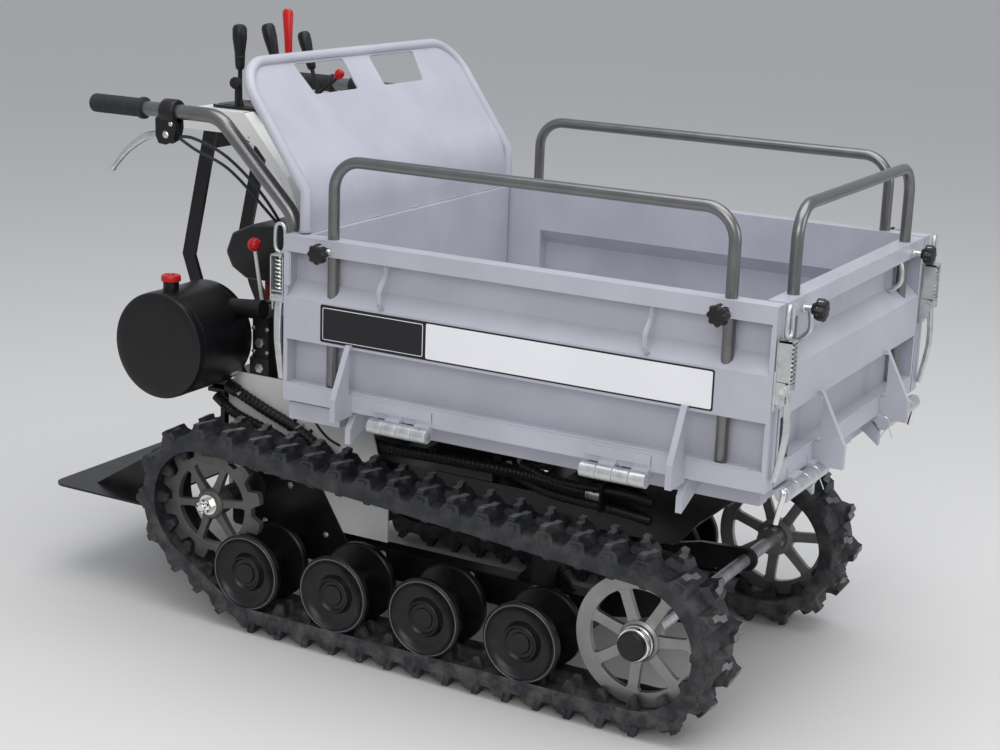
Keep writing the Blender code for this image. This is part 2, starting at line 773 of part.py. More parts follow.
def rear_tower(name):
    """The black plate frame over the transmission: engine deck, its legs and the footboard's hinge tube."""
    low = CHASSIS_LOW + CHASSIS_TUBE + SEAT
    inner = COVER_PLANE - SEAT
    shapes = [box((DECK_REAR, -inner, DECK_TOP - 0.008), (DECK_FRONT, inner, DECK_TOP))]
    for x in (DECK_REAR, DECK_FRONT - 0.010):
        for side in (-1, 1):
            low_y, high_y = sorted((side * (CHASSIS_HALF - 0.022), side * (CHASSIS_HALF + 0.020)))
            shapes.append(box((x, low_y, low), (x + 0.010, high_y, DECK_TOP - 0.001)))
    # Arms back to the hinge tube
    for side in (-1, 1):
        low_y, high_y = sorted((side * 0.100, side * 0.112))
        arm = [
            (DECK_REAR - 0.004, FOOT_HINGE_Z - 0.010), (DECK_REAR + 0.006, FOOT_HINGE_Z + 0.080),
            (DECK_REAR - 0.004, FOOT_HINGE_Z + 0.090), (FOOT_HINGE_X + 0.004, FOOT_HINGE_Z + 0.009),
            (FOOT_HINGE_X - 0.002, FOOT_HINGE_Z - 0.009),
        ]
        shapes.append(prism(arm, "y", low_y, high_y))
    shapes.append(
        rod(
            (FOOT_HINGE_X, -FOOT_TUBE, FOOT_HINGE_Z), (FOOT_HINGE_X, FOOT_TUBE, FOOT_HINGE_Z),
            FOOT_TUBE_RADIUS, 14,
        )
    )
    cuts = []
    for side in (-1, 1):
        cuts.append(
            rod(
                (FOOT_HINGE_X, side * (FOOT_TUBE - 0.025), FOOT_HINGE_Z),
                (FOOT_HINGE_X, side * (FOOT_TUBE + 0.01), FOOT_HINGE_Z), FOOT_PIN + RUN, 12,
            )
        )
    return solid(name, shapes, "black_paint", cuts)


def side_cover(name):
    """White sheet between chassis and track, open round the axle tube."""
    # Corners as (x, z), from the rear's foot over the top and down the front
    outline = [
        (-0.446, 0.200), (-0.446, 0.420), (-0.420, 0.446), (-0.245, 0.446), (-0.236, 0.412),
        (-0.118, 0.412), (-0.070, 0.250), (-0.070, 0.165), (-0.400, 0.165),
    ]
    low, high = -COVER_PLANE - SHEET, -COVER_PLANE
    cuts = [prism(circle((SPROCKET_X, SPROCKET_Z), 0.040, 16), "y", low - 0.01, high + 0.01)]
    lean = Vector((0.60, 0.80))
    across = Vector((lean.y, -lean.x))
    # Slots along a falling line: middle of each slot
    for x, z in ((-0.292, 0.346), (-0.254, 0.333), (-0.219, 0.329)):
        middle = Vector((x, z))
        slot = [
            middle + lean * a * 0.012 + across * b * 0.004
            for a, b in ((-1, -1), (1, -1), (1, 1), (-1, 1))
        ]
        cuts.append(prism(slot, "y", low - 0.01, high + 0.01))
    return solid(name, [prism(outline, "y", low, high)], "white_paint", cuts)


def footboard(name):
    """Folding step: a plate with rounded rear corners, side arms up to its hinge pins."""
    plate = [(FOOT_HINGE_X + 0.010, -FOOT_HALF), (FOOT_HINGE_X + 0.010, FOOT_HALF)]
    plate += arc((FOOT_REAR + FOOT_CORNER, FOOT_HALF - FOOT_CORNER), FOOT_CORNER, 90.0, 180.0, 5)
    plate += arc((FOOT_REAR + FOOT_CORNER, -FOOT_HALF + FOOT_CORNER), FOOT_CORNER, 180.0, 270.0, 5)
    shapes = [prism(plate, "z", FOOT_Z - FOOT_SHEET, FOOT_Z)]
    for side in (-1, 1):
        inner = side * (FOOT_TUBE + RUN)
        low_y, high_y = sorted((inner, inner + side * FOOT_ARM))
        arm = [(FOOT_HINGE_X - 0.150, FOOT_Z - 0.002), (FOOT_HINGE_X + 0.008, FOOT_Z - 0.002)]
        arm += arc((FOOT_HINGE_X, FOOT_HINGE_Z), 0.013, 0.0, 150.0, 5)
        shapes.append(prism(arm, "y", low_y, high_y))
        low_pin, high_pin = sorted((side * (FOOT_TUBE - 0.020), inner + side * 0.004))
        shapes.append(
            rod((FOOT_HINGE_X, low_pin, FOOT_HINGE_Z), (FOOT_HINGE_X, high_pin, FOOT_HINGE_Z), FOOT_PIN, 12)
        )
    return solid(name, shapes, "black_paint", origin=(FOOT_HINGE_X, 0.0, FOOT_HINGE_Z))


def transmission(name):
    """Gear case between the chassis tubes, with the axle tubes to both sprockets."""
    # Case seen from the side, corners as (x, z)
    case = [
        (-0.412, 0.150), (-0.412, 0.340), (-0.380, 0.385), (-0.260, 0.385), (-0.170, 0.330),
        (-0.145, 0.250), (-0.180, 0.135), (-0.390, 0.135),
    ]
    shapes = [prism(case, "y", -0.095, 0.095)]
    reach = WHEEL_PLANE - 0.030 - SEAT
    shapes.append(rod((SPROCKET_X, -reach, SPROCKET_Z), (SPROCKET_X, reach, SPROCKET_Z), 0.022, 16))
    shapes.append(rod((SPROCKET_X, -0.195, SPROCKET_Z), (SPROCKET_X, 0.195, SPROCKET_Z), 0.034, 16))
    return solid(name, shapes, "engine_metal")


def engine(name):
    """A small upright petrol engine as one plain block of its real size."""
    low = DECK_TOP + SEAT
    # Cooling shroud, with the cylinder's head standing above it
    shapes = [box((-0.460, -0.120, low), (-0.240, 0.140, 0.590))]
    shapes.append(box((-0.440, -0.080, low), (-0.270, 0.120, 0.610)))
    return solid(name, shapes, "engine_metal")


def fuel_tank(name):
    """The black rounded tank on top of the engine with its filler cap."""
    # Tank seen from the side, corners as (x, z)
    outline = [
        (-0.522, 0.66), (-0.506, 0.7), (-0.462, 0.720), (-0.332, 0.726), (-0.292, 0.71),
        (-0.277, 0.66), (-0.284, 0.625), (-0.312, 0.6103), (-0.472, 0.6103), (-0.507, 0.63),
    ]
    shapes = [prism(outline, "y", -0.110, 0.110)]
    shapes.append(
        turned([(0.0, 0.024), (0.016, 0.024), (0.022, 0.018)], (-0.392, 0.0, 0.718), (0, 0, 1), 12)
    )
    return solid(name, shapes, "black_plastic")


def oil_tank(name):
    """Lying steel drum with a filler neck and a side port."""
    low, high = -OIL_OUT, -OIL_IN
    deep = high - low
    body = [
        (0.0, OIL_RADIUS - 0.022), (0.008, OIL_RADIUS), (deep - 0.008, OIL_RADIUS),
        (deep, OIL_RADIUS - 0.022),
    ]
    shapes = [turned(body, (OIL_X, low, OIL_Z), (0, 1, 0), 24)]
    shapes.append(
        rod(
            (OIL_X - 0.005, -0.315, OIL_Z + 0.08), (OIL_X - 0.005, -0.315, OIL_Z + OIL_RADIUS + 0.014),
            0.016, 12,
        )
    )
    shapes.append(
        rod((OIL_X + 0.070, -0.225, OIL_Z + 0.060), (OIL_X + 0.145, -0.225, OIL_Z + 0.066), 0.019, 10)
    )
    # Bracket down to the tower
    shapes.append(box((OIL_X - 0.040, -0.215, OIL_Z - 0.060), (OIL_X + 0.020, -0.165, OIL_Z)))
    shapes.append(box((OIL_X - 0.040, -0.173, DECK_TOP + SEAT), (OIL_X + 0.020, -0.165, OIL_Z)))
    shapes.append(box((OIL_X - 0.020, -0.173, DECK_TOP + SEAT), (OIL_X + 0.020, -0.125, 0.408)))
    return solid(name, shapes, "black_paint")


def oil_cap(name):
    base = OIL_Z + OIL_RADIUS + 0.014 + SEAT
    profile = [(0.0, 0.0185), (0.011, 0.0185), (0.014, 0.016)]
    return solid(name, [turned(profile, (OIL_X - 0.005, -0.315, base), (0, 0, 1), 14)], "red_plastic")


def valve(name):
    """Tipping valve beside the engine with its ball-ended lever."""
    shapes = [box((-0.400, -0.182, DECK_TOP + SEAT), (-0.355, -0.132, 0.560))]
    foot, top = (-0.3750, -0.165, 0.540), (-0.3750, -0.200, 0.700)
    shapes.append(rod(foot, top, 0.004, 10))
    bm = bmesh.new()
    bmesh.ops.create_uvsphere(
        bm, u_segments=8, v_segments=6, radius=0.014,
        matrix=Matrix.Translation((-0.375, -0.2005, 0.706)),
    )
    shapes.append(mesh_of(bm))
    return solid(name, shapes, "black_paint")


def handlebar(name):
    """One handlebar tube, from its foot on the tower up behind the headboard and back to the grip."""
    y = -BAR_HALF
    level = BAR_Z - 0.002
    points = [
        (-0.300, -0.162, DECK_TOP + SEAT),
        (-0.300, -0.162, 0.470),
        (-0.245, y + 0.010, 0.620),
        (-0.203, y + 0.010, 0.785),
        (-0.373, y, level),
        (GRIP_REAR + GRIP_LENGTH, y, level),
    ]
    return solid(name, [tube(rounded(points, 0.060), BAR_RADIUS, 10)], "tube_steel")


def grip(name):
    y = -BAR_HALF
    start = GRIP_REAR + GRIP_LENGTH - 2 * SEAT
    profile = [
        (0.0, GRIP_RADIUS + 0.003), (0.006, GRIP_RADIUS + 0.003), (0.010, GRIP_RADIUS),
        (GRIP_LENGTH - 0.006, GRIP_RADIUS), (GRIP_LENGTH, GRIP_RADIUS - 0.005),
    ]
    shapes = [turned(profile, (start, y, BAR_Z - 0.002), (-1, 0, 0), 10)]
    return solid(name, shapes, "rubber")


def brake_lever(name):
    """Clamp on the handlebar with its pull lever."""
    y = -BAR_HALF
    x = -0.482
    shapes = [
        turned(
            [(0.0, 0.021), (0.004, 0.024), (0.030, 0.024), (0.034, 0.021)],
            (x - 0.017, y, BAR_Z - 0.002), (1, 0, 0), 12,
        ),
    ]
    shapes.append(box((x - 0.024, y - 0.012, BAR_Z - 0.062), (x + 0.018, y + 0.012, BAR_Z - 0.016)))
    lever = rounded(
        [
            (x - 0.010, y, BAR_Z - 0.045), (x - 0.060, y, BAR_Z - 0.050),
            (x - 0.105, y - 0.004, BAR_Z - 0.080), (x - 0.140, y - 0.006, BAR_Z - 0.125),
        ],
        0.05, 3,
    )
    shapes.append(tube(lever, 0.005, 8))
    hole = rod((x - 0.03, y, BAR_Z - 0.002), (x + 0.03, y, BAR_Z - 0.002), BAR_RADIUS * 1.06 + SEAT, 10)
    return solid(name, shapes, "black_plastic", [hole])


def uprights(name):
    """Two flat bars from the tower up to the console, joined by their foot plate."""
    deep = UPRIGHT_DEEP / 2
    low, high = DECK_TOP + SEAT, CONSOLE_LOW - SEAT
    # Middle of each bend up the bar: x and z
    bends = ((DECK_REAR, low), (UPRIGHT_KNEE, 0.549), (UPRIGHT_REAR, 0.640), (UPRIGHT_HEAD, high))
    lean = (0.030, deep, deep, deep)
    bar = [(x - wide, z) for (x, z), wide in zip(bends, lean)]
    bar += [(x + wide, z) for (x, z), wide in reversed(list(zip(bends, lean)))]
    shapes = []
    for side in (-1, 1):
        inner, outer = UPRIGHT_HALF - UPRIGHT_THICK / 2, UPRIGHT_HALF + UPRIGHT_THICK / 2
        low_y, high_y = sorted((side * inner, side * outer))
        shapes.append(prism(bar, "y", low_y, high_y))
    shapes.append(
        box((DECK_REAR - 0.025, -UPRIGHT_HALF, low), (DECK_REAR + 0.020, UPRIGHT_HALF, low + DECK_PLATE))
    )
    strap = (UPRIGHT_HEAD - 0.013, -UPRIGHT_HALF, high - 0.045), (
        UPRIGHT_HEAD + 0.002, UPRIGHT_HALF, high - 0.010,
    )
    shapes.append(box(*strap))
    return solid(name, shapes, "black_paint")


def console(name):
    """White sloping control console on the uprights."""
    # From the rear lip over the flat top and down the front apron: (x, height above the console's foot)
    rows = ((-0.600, 0.0), (-0.600, 0.020), (-0.560, 0.042), (-0.430, 0.042), (-0.330, -0.070))
    rows += ((-0.290, -0.160), (-0.300, -0.165), (-0.345, -0.080), (-0.400, -0.020), (-0.440, 0.0))
    outline = [(x, CONSOLE_LOW + rise) for x, rise in rows]
    return solid(name, [prism(outline, "y", -CONSOLE_HALF, CONSOLE_HALF)], "white_paint")


def lever(x, y, lean_x, lean_y, length):
    """Shapes of one control lever: a stem with its hand grip."""
    foot = Vector((x, y, CONSOLE_TOP + 0.004))
    tip = foot + Vector((lean_x, lean_y, length))
    knee = foot.lerp(tip, 0.45)
    grip_long = (tip - knee).length
    profile = [(0.0, 0.007), (0.006, 0.011), (grip_long - 0.010, 0.012), (grip_long, 0.008)]
    return [rod(foot, tip, 0.005, 6), turned(profile, knee, tip - knee, 10)]


def control_levers(name):
    """Black levers on their slotted plate, which reaches past the tipping lever's foot."""
    low, high = CONSOLE_TOP + SEAT, CONSOLE_TOP + 0.006
    shapes = [box((-0.530, -0.130, low), (-0.405, -0.020, high))]
    shapes.append(box((-0.440, -0.022, low), (-0.405, 0.095, high)))
    for x, y, lean_x, lean_y, length in LEVERS:
        shapes += lever(x, y, lean_x, lean_y, length)
    return solid(name, shapes, "black_plastic")


def tipping_lever(name):
    """The red lever on its own foot."""
    x, y, lean_x, lean_y, length = RED_LEVER
    low, high = CONSOLE_TOP + SEAT, CONSOLE_TOP + 0.006
    shapes = [box((x - 0.016, y - 0.010, low), (x + 0.016, y + 0.010, high))]
    shapes += lever(x, y, lean_x, lean_y, length)
    return solid(name, shapes, "red_plastic")


def cylinder_barrel(name):
    """Tipping cylinder's barrel with the eye at its base."""
    base, eye = Vector((CYL_BASE_X, 0, CYL_BASE_Z)), Vector((CYL_EYE_X, 0, CYL_EYE_Z))
    along = (eye - base).normalized()
    shapes = [rod(base + along * 0.030, base + along * CYL_BARREL_LENGTH, CYL_BARREL_RADIUS, 24)]
    shapes.append(rod(base, base + along * 0.035, 0.012, 12))
    shapes.append(rod((base.x, -CYL_EYE_HALF, base.z), (base.x, CYL_EYE_HALF, base.z), CYL_EYE_RADIUS, 20))
    cuts = [rod(base + along * 0.060, base + along * (CYL_BARREL_LENGTH + 0.01), CYL_ROD_RADIUS + RUN, 20)]
    cuts.append(rod((base.x, -0.03, base.z), (base.x, 0.03, base.z), CYL_PIN_RADIUS + RUN, 12))
    return solid(name, shapes, "black_paint", cuts, origin=base)


def cylinder_rod(name):
    """The bright rod with its eye between the bed's ears."""
    base, eye = Vector((CYL_BASE_X, 0, CYL_BASE_Z)), Vector((CYL_EYE_X, 0, CYL_EYE_Z))
    along = (eye - base).normalized()
    shapes = [rod(base + along * 0.066, eye, CYL_ROD_RADIUS, 20)]
    shapes.append(rod((eye.x, -CYL_EYE_HALF, eye.z), (eye.x, CYL_EYE_HALF, eye.z), CYL_EYE_RADIUS, 20))
    return solid(name, shapes, "bright_steel", origin=eye)


def knuckle_spans(start, pitch):
    """Spans of a barrel hinge's four knuckles, in turn for its first and its second owner."""
    first, second = [], []
    for i in range(KNUCKLES):
        span = (start + i * pitch + KNUCKLE_GAP / 2, start + (i + 1) * pitch - KNUCKLE_GAP / 2)
        (first if i % 2 == 0 else second).append(span)
    return first, second


# Rear ends of a side's two barrels, and the gate's barrel as its lowest |y|
SIDE_HINGES = (BOX_REAR + 0.1933, BOX_FRONT - 0.3153)
SIDE_PITCH = 0.0298
GATE_HINGE = 0.159
GATE_PITCH = 0.046
KNUCKLES = 4


def side_hinge_parts():
    """Knuckle spans along x of a side's two hinges: the panel's and the bed's."""
    panel, bed = [], []
    for start in SIDE_HINGES:
        first, second = knuckle_spans(start, SIDE_PITCH)
        bed += first
        panel += second
    return panel, bed


def gate_hinge_parts():
    """Knuckle spans along y of the gate's two hinges: the panel's and the bed's."""
    panel, bed = knuckle_spans(GATE_HINGE, GATE_PITCH)
    panel += [(-high, -low) for low, high in panel]
    bed += [(-high, -low) for low, high in bed]
    return panel, bed


def pressed_cuts(axis, low, high, near, face, outward):
    """Cuts that turn a slab into a pressed panel between two ends; near is the inner pocket's end inset."""
    deep = PANEL - SHEET
    upper = [(-0.01, RIM_LOW), (deep, RIM_LOW), (deep, RIB_BEVEL_TOP), (0.0, RIB_TOP), (-0.01, RIB_TOP)]
    lower = [(-0.01, RIB_LOW), (deep, RIB_LOW), (deep, LEDGE_TOP), (-0.01, LEDGE_TOP)]
    inner = [(PANEL + 0.01, RIB_BEVEL_TOP - 0.002), (PANEL - 0.0005, RIB_BEVEL_TOP - 0.002)]
    inner += [(SHEET, RIB_TOP - SHEET), (SHEET, RIB_LOW + SHEET), (PANEL + 0.01, RIB_LOW + SHEET)]
    cuts = []
    for outline, inset in ((upper, FLANGE), (lower, FLANGE), (inner, near)):
        placed = [(face - outward * depth, z) for depth, z in outline]
        cuts.append(prism(placed, axis, low + inset, high - inset))
    return cuts


def fin_outline(face, outward, low):
    """A fin's outline on the outer face: top under the rib, sloping to its knee, flat below."""
    edge = face + outward * FIN_OUT
    inner = face - outward * 0.002
    return [
        (inner, RIB_LOW + 0.008), (face + outward * 0.007, RIB_LOW + 0.008), (edge, FIN_KNEE), (edge, low),
        (inner, low),
    ]


def drop_side(name):
    """Right-hand side: pressed panel with rim, rib, foot rail, hooks, fins and hinge knuckles."""
    outer = -BOX_HALF_WIDTH
    shapes = [box((BOX_REAR, outer, PANEL_LOW), (BOX_FRONT, outer + PANEL, RIM_TOP))]
    legs = (BOX_REAR + SIDE_RAIL_REAR, BOX_FRONT - SIDE_RAIL_FRONT)
    near = (SIDE_RAIL_REAR + SIDE_RAIL_FRONT) / 2 + RAIL_RADIUS + 0.012
    cuts = pressed_cuts("x", BOX_REAR, BOX_FRONT, near, outer, -1)
    cuts += rail_holes([(x, outer + PANEL / 2) for x in legs])
    for x in (BOX_REAR + FIN_BACK, BOX_FRONT - FIN_BACK):
        shapes.append(prism(fin_outline(outer, -1, FIN_LOW), "x", x - FIN_THICK / 2, x + FIN_THICK / 2))
    axis_y = outer - HINGE_OUT
    panel, bed = side_hinge_parts()
    for low, high in panel:
        shapes.append(rod((low, axis_y, HINGE_Z), (high, axis_y, HINGE_Z), HINGE_RADIUS, 8))
        shapes.append(box((low, axis_y + 0.001, HINGE_Z), (high, outer + 0.010, PANEL_LOW + 0.004)))
        shapes.append(
            box((low, outer - LEAF_PROUD, HINGE_Z), (high, outer + 0.004, PANEL_LOW + LEAF_TALL - 0.008))
        )
    for start in SIDE_HINGES:
        low, high = (start, outer - LEAF_PROUD, PANEL_LOW + 0.010), (
            start + KNUCKLES * SIDE_PITCH, outer + 0.004, PANEL_LOW + LEAF_TALL,
        )
        shapes.append(box(low, high))
    hooks = []
    for x in (BOX_FRONT - 0.716, BOX_FRONT - 0.215):
        hooks.append(tube(hook_route(x, outer), 0.004, 5))
    for x in legs:
        shapes += knob_shapes((x, outer, KNOB_Z), (0, -1, 0))
    return solid(name, shapes, "box_paint", cuts, origin=(0.0, axis_y, HINGE_Z), added=hooks)


def hook_route(x, outer):
    """A hook bent from strip, from under the rim down in front of the rib."""
    heights = ((0.012, RIM_LOW + 0.004), (0.012, 0.731), (-0.010, 0.706), (-0.010, 0.681), (0.006, 0.670))
    return rounded([(x, outer + depth, z) for depth, z in heights], 0.008, 1)


def knob_shapes(place, axis):
    """Clamping screw with its lobed knob, standing out from a rim."""
    start = Vector(place) - Vector(axis) * 0.003
    stem = rod(start, Vector(place) + Vector(axis) * (KNOB_REACH - 0.012), 0.005, 6)
    head = turned(
        [
            (0.0, KNOB_RADIUS - 0.004), (0.004, KNOB_RADIUS), (0.012, KNOB_RADIUS),
            (0.016, KNOB_RADIUS - 0.004),
        ],
        Vector(place) + Vector(axis) * (KNOB_REACH - 0.016), axis, 10,
    )
    return [stem, head]


def rail_holes(places):
    holes = []
    for x, y in places:
        holes.append(rod((x, y, LEDGE_TOP - 0.0005), (x, y, RIM_TOP + 0.02), RAIL_RADIUS + RUN, 10))
    return holes


def rail(name, first, second, origin):
    """A hoop of round tube whose legs run down through rim and rib."""
    foot = LEDGE_TOP + SEAT
    route = [
        (first[0], first[1], foot), (first[0], first[1], RAIL_TOP), (second[0], second[1], RAIL_TOP),
        (second[0], second[1], foot),
    ]
    return solid(name, [tube(rounded(route, RAIL_BEND, 4), RAIL_RADIUS, 10)], "tube_steel", origin=origin)


def side_rail(name):
    y = -BOX_HALF_WIDTH + PANEL / 2
    rear_x, front_x = BOX_REAR + SIDE_RAIL_REAR, BOX_FRONT - SIDE_RAIL_FRONT
    return rail(name, (rear_x, y), (front_x, y), (rear_x, y, LEDGE_TOP))


def gate(name):
    """Front drop gate between the sides: the same pressed panel across the box."""
    outer, half = BOX_FRONT, GATE_HALF
    shapes = [box((outer - PANEL, -half, PANEL_LOW), (outer, half, RIM_TOP))]
    near = half - GATE_RAIL_HALF + RAIL_RADIUS + 0.012
    cuts = pressed_cuts("y", -half, half, near, outer, 1)
    cuts += rail_holes([(outer - PANEL / 2, -GATE_RAIL_HALF), (outer - PANEL / 2, GATE_RAIL_HALF)])
    for y in (-GATE_FIN, GATE_FIN):
        shapes.append(prism(fin_outline(outer, 1, FIN_LOW), "y", y - FIN_THICK / 2, y + FIN_THICK / 2))
    axis_x = outer + HINGE_OUT
    panel, bed = gate_hinge_parts()
    for low, high in panel:
        shapes.append(rod((axis_x, low, HINGE_Z), (axis_x, high, HINGE_Z), HINGE_RADIUS, 8))
        shapes.append(box((outer - 0.010, low, HINGE_Z), (axis_x - 0.001, high, PANEL_LOW + 0.004)))
        shapes.append(
            box((outer - 0.004, low, HINGE_Z), (outer + LEAF_PROUD, high, PANEL_LOW + LEAF_TALL - 0.008))
        )
    for side in (-1, 1):
        shapes += knob_shapes((outer, side * GATE_RAIL_HALF, KNOB_Z), (1, 0, 0))
    return solid(name, shapes, "box_paint", cuts, origin=(axis_x, 0.0, HINGE_Z))


def gate_rail(name):
    x = BOX_FRONT - PANEL / 2
    return rail(name, (x, -GATE_RAIL_HALF), (x, GATE_RAIL_HALF), (x, 0.0, LEDGE_TOP))


def bed(name):
    """Tipping bed: floor sheet on its underframe, rear wall and the fixed hinge knuckles."""
    wall_x = BOX_REAR + REAR_WALL_INSET
    front = BOX_FRONT - PANEL - SWING
    shapes = [box((wall_x, -INSIDE, FLOOR_TOP - SHEET), (front, INSIDE, FLOOR_TOP))]
    under = FLOOR_TOP - 0.001
    for y in (CHASSIS_HALF, BED_RAIL_OUT - BED_RAIL_WIDTH / 2):
        for side in (-1, 1):
            low_y, high_y = sorted((side * (y - BED_RAIL_WIDTH / 2), side * (y + BED_RAIL_WIDTH / 2)))
            shapes.append(box((BOX_REAR, low_y, BED_RAIL_LOW), (front, high_y, under)))
    for x in (-0.020, 0.200, BED_CROSS_FRONT, front - 0.020):
        low = (x - 0.020, -BED_RAIL_OUT + 0.01, BED_RAIL_LOW + 0.003)
        shapes.append(box(low, (x + 0.020, BED_RAIL_OUT - 0.01, BED_RAIL_TOP - 0.003)))
    rear_low = (BOX_REAR, -INSIDE - 0.020, BED_RAIL_LOW + 0.012)
    shapes.append(box(rear_low, (BOX_REAR + 0.110, INSIDE + 0.020, BED_RAIL_TOP - 0.002)))
    # Rear wall with a folded top edge and folded ends
    shapes.append(box((wall_x - SHEET, -INSIDE, BED_RAIL_LOW + 0.014), (wall_x, INSIDE, RIM_TOP - 0.001)))
    shapes.append(box((wall_x - 0.030, -INSIDE, RIM_LOW), (wall_x, INSIDE, RIM_TOP - 0.001)))
    for side in (-1, 1):
        low_y, high_y = sorted((side * (INSIDE - 0.004), side * INSIDE))
        shapes.append(box((BOX_REAR, low_y, BED_RAIL_LOW + 0.014), (wall_x, high_y, RIM_TOP - 0.001)))
    shapes += bed_ears()
    shapes += bed_stops()
    shapes += bed_knuckles()
    return solid(name, shapes, "box_paint", origin=(PIVOT_X, 0.0, PIVOT_Z))


def bed_ears():
    """Pivot ears with their pins under the front, and the two lugs that hold the cylinder's eye."""
    shapes = []
    root = FLOOR_TOP - 0.002
    for side in (-1, 1):
        y = side * (PIVOT_HALF - PIVOT_PLATE / 2 - RUN)
        low_y, high_y = sorted((y, y - side * 0.010))
        ear = [(PIVOT_X - 0.060, root)] + arc((PIVOT_X, PIVOT_Z), 0.028, 200.0, 340.0, 8) + [
            (PIVOT_X + 0.060, root),
        ]
        shapes.append(prism(ear, "y", low_y, high_y))
        low_y, high_y = sorted((y - side * 0.010, side * (PIVOT_HALF + 0.012)))
        shapes.append(rod((PIVOT_X, low_y, PIVOT_Z), (PIVOT_X, high_y, PIVOT_Z), PIVOT_RADIUS, 20))
        low_y, high_y = sorted((side * (CYL_EYE_HALF + RUN), side * (CYL_EYE_HALF + 0.009)))
        lug = [(CYL_EYE_X - 0.050, root)] + arc((CYL_EYE_X, CYL_EYE_Z), 0.022, 200.0, 340.0, 8)
        lug.append((CYL_EYE_X + 0.050, root))
        shapes.append(prism(lug, "y", low_y, high_y))
    return shapes


def bed_stops():
    """Gusset plates below the fins, on which the dropped sides and gate hang."""
    shapes = []
    edge = BOX_HALF_WIDTH + STOP_OUT
    root = BED_RAIL_OUT - 0.006
    stop = [
        (root, BED_RAIL_TOP - 0.012), (root, BED_RAIL_TOP), (edge - 0.020, BED_RAIL_TOP),
        (edge, STOP_TOP), (edge, STOP_LOW),
    ]
    for x in (BOX_REAR + FIN_BACK, BOX_FRONT - FIN_BACK):
        for side in (-1, 1):
            outline = [(side * y, z) for y, z in stop]
            shapes.append(prism(outline, "x", x - FIN_THICK / 2, x + FIN_THICK / 2))
    edge = BOX_FRONT + STOP_OUT
    root = BOX_FRONT - PANEL - SWING - 0.010
    stop = [
        (root, BED_RAIL_TOP - 0.012), (root, BED_RAIL_TOP), (edge - 0.024, BED_RAIL_TOP),
        (edge, STOP_TOP), (edge, STOP_LOW),
    ]
    for side in (-1, 1):
        shapes.append(prism(stop, "y", side * GATE_FIN - FIN_THICK / 2, side * GATE_FIN + FIN_THICK / 2))
    return shapes


def bed_knuckles():
    """Fixed hinge knuckles, each on a carrier plate out from under the floor."""
    shapes = []
    panel, fixed = side_hinge_parts()
    low_z, high_z = BED_RAIL_TOP - CARRIER, BED_RAIL_TOP
    for low, high in fixed:
        for side in (-1, 1):
            axis_y = side * (BOX_HALF_WIDTH + HINGE_OUT)
            shapes.append(rod((low, axis_y, HINGE_Z), (high, axis_y, HINGE_Z), HINGE_RADIUS, 8))
            low_y, high_y = sorted((axis_y - side * 0.002, side * (BED_RAIL_OUT - 0.006)))
            shapes.append(box((low, low_y, low_z), (high, high_y, high_z)))
    panel, fixed = gate_hinge_parts()
    axis_x = BOX_FRONT + HINGE_OUT
    for low, high in fixed:
        shapes.append(rod((axis_x, low, HINGE_Z), (axis_x, high, HINGE_Z), HINGE_RADIUS, 8))
        shapes.append(box((BOX_FRONT - PANEL - SWING - 0.020, low, low_z), (axis_x - 0.002, high, high_z)))
    return shapes


def headboard(name):
    """Guard above the rear wall: a sheet inside a bent tube frame, leaning back, with two hand slots."""
    wall_x = BOX_REAR + REAR_WALL_INSET - 0.012
    low = RIM_TOP - 0.001 + SEAT
    half = GUARD_HALF - GUARD_TUBE
    foot = Vector((wall_x, 0, RIM_TOP + SWING))
    bend = Vector((wall_x, 0, GUARD_BEND_Z))
    top = Vector((wall_x - GUARD_LEAN, 0, GUARD_TOP_Z))
    lean = (top - bend).normalized()
    route = [foot, bend, top]
    left = [Vector((p.x, -half, p.z)) for p in route]
    right = [Vector((p.x, half, p.z)) for p in reversed(route)]
    frame = rounded(left + right, GUARD_CORNER, 4)
    shapes = [tube(frame, GUARD_TUBE, 8)]
    sheet = GUARD_SHEET / 2
    inner = half
    seat = INSIDE
    step = RIM_TOP + SWING
    apron = [(-seat, low), (seat, low), (seat, step), (inner, step), (inner, GUARD_BEND_Z)]
    apron += [(-inner, GUARD_BEND_Z), (-inner, step), (-seat, step)]
    shapes.append(prism(apron, "x", wall_x - sheet, wall_x + sheet))
    across = Vector((lean.z, 0, -lean.x))
    corner = GUARD_CORNER - 0.001
    length = (top - bend).length

    def leaning(outline, deep):
        """A plate or cutter in the leaning plane, from (sideways, up the slope)."""
        bm = bmesh.new()
        rows = []
        for level in (-deep, deep):
            rows.append([
                bm.verts.new(bend + lean * v + Vector((0, u, 0)) + across * level)
                for u, v in outline
            ])
        bm.faces.new(rows[0])
        bm.faces.new(list(reversed(rows[1])))
        for i in range(len(outline)):
            j = (i + 1) % len(outline)
            bm.faces.new((rows[0][i], rows[1][i], rows[1][j], rows[0][j]))
        return mesh_of(bm)

    outline = [(inner, -0.004)]
    outline += arc((inner - corner, length - corner), corner, 0.0, 90.0, 4)
    outline += arc((corner - inner, length - corner), corner, 90.0, 180.0, 4)
    outline += [(-inner, -0.004)]
    shapes.append(leaning(outline, sheet * 0.96))
    cuts = []
    slot_top = length - SLOT_DROP
    for side in (-1, 1):
        near, far = side * SLOT_HALF_GAP, side * (SLOT_HALF_GAP + SLOT_LENGTH)
        low_far = far - side * SLOT_RAKE
        cuts.append(
            leaning(
                [
                    (near, slot_top), (far, slot_top), (low_far, slot_top - SLOT_TALL),
                    (near, slot_top - SLOT_TALL),
                ],
                0.03,
            )
        )
    return solid(name, shapes, "box_paint", cuts)


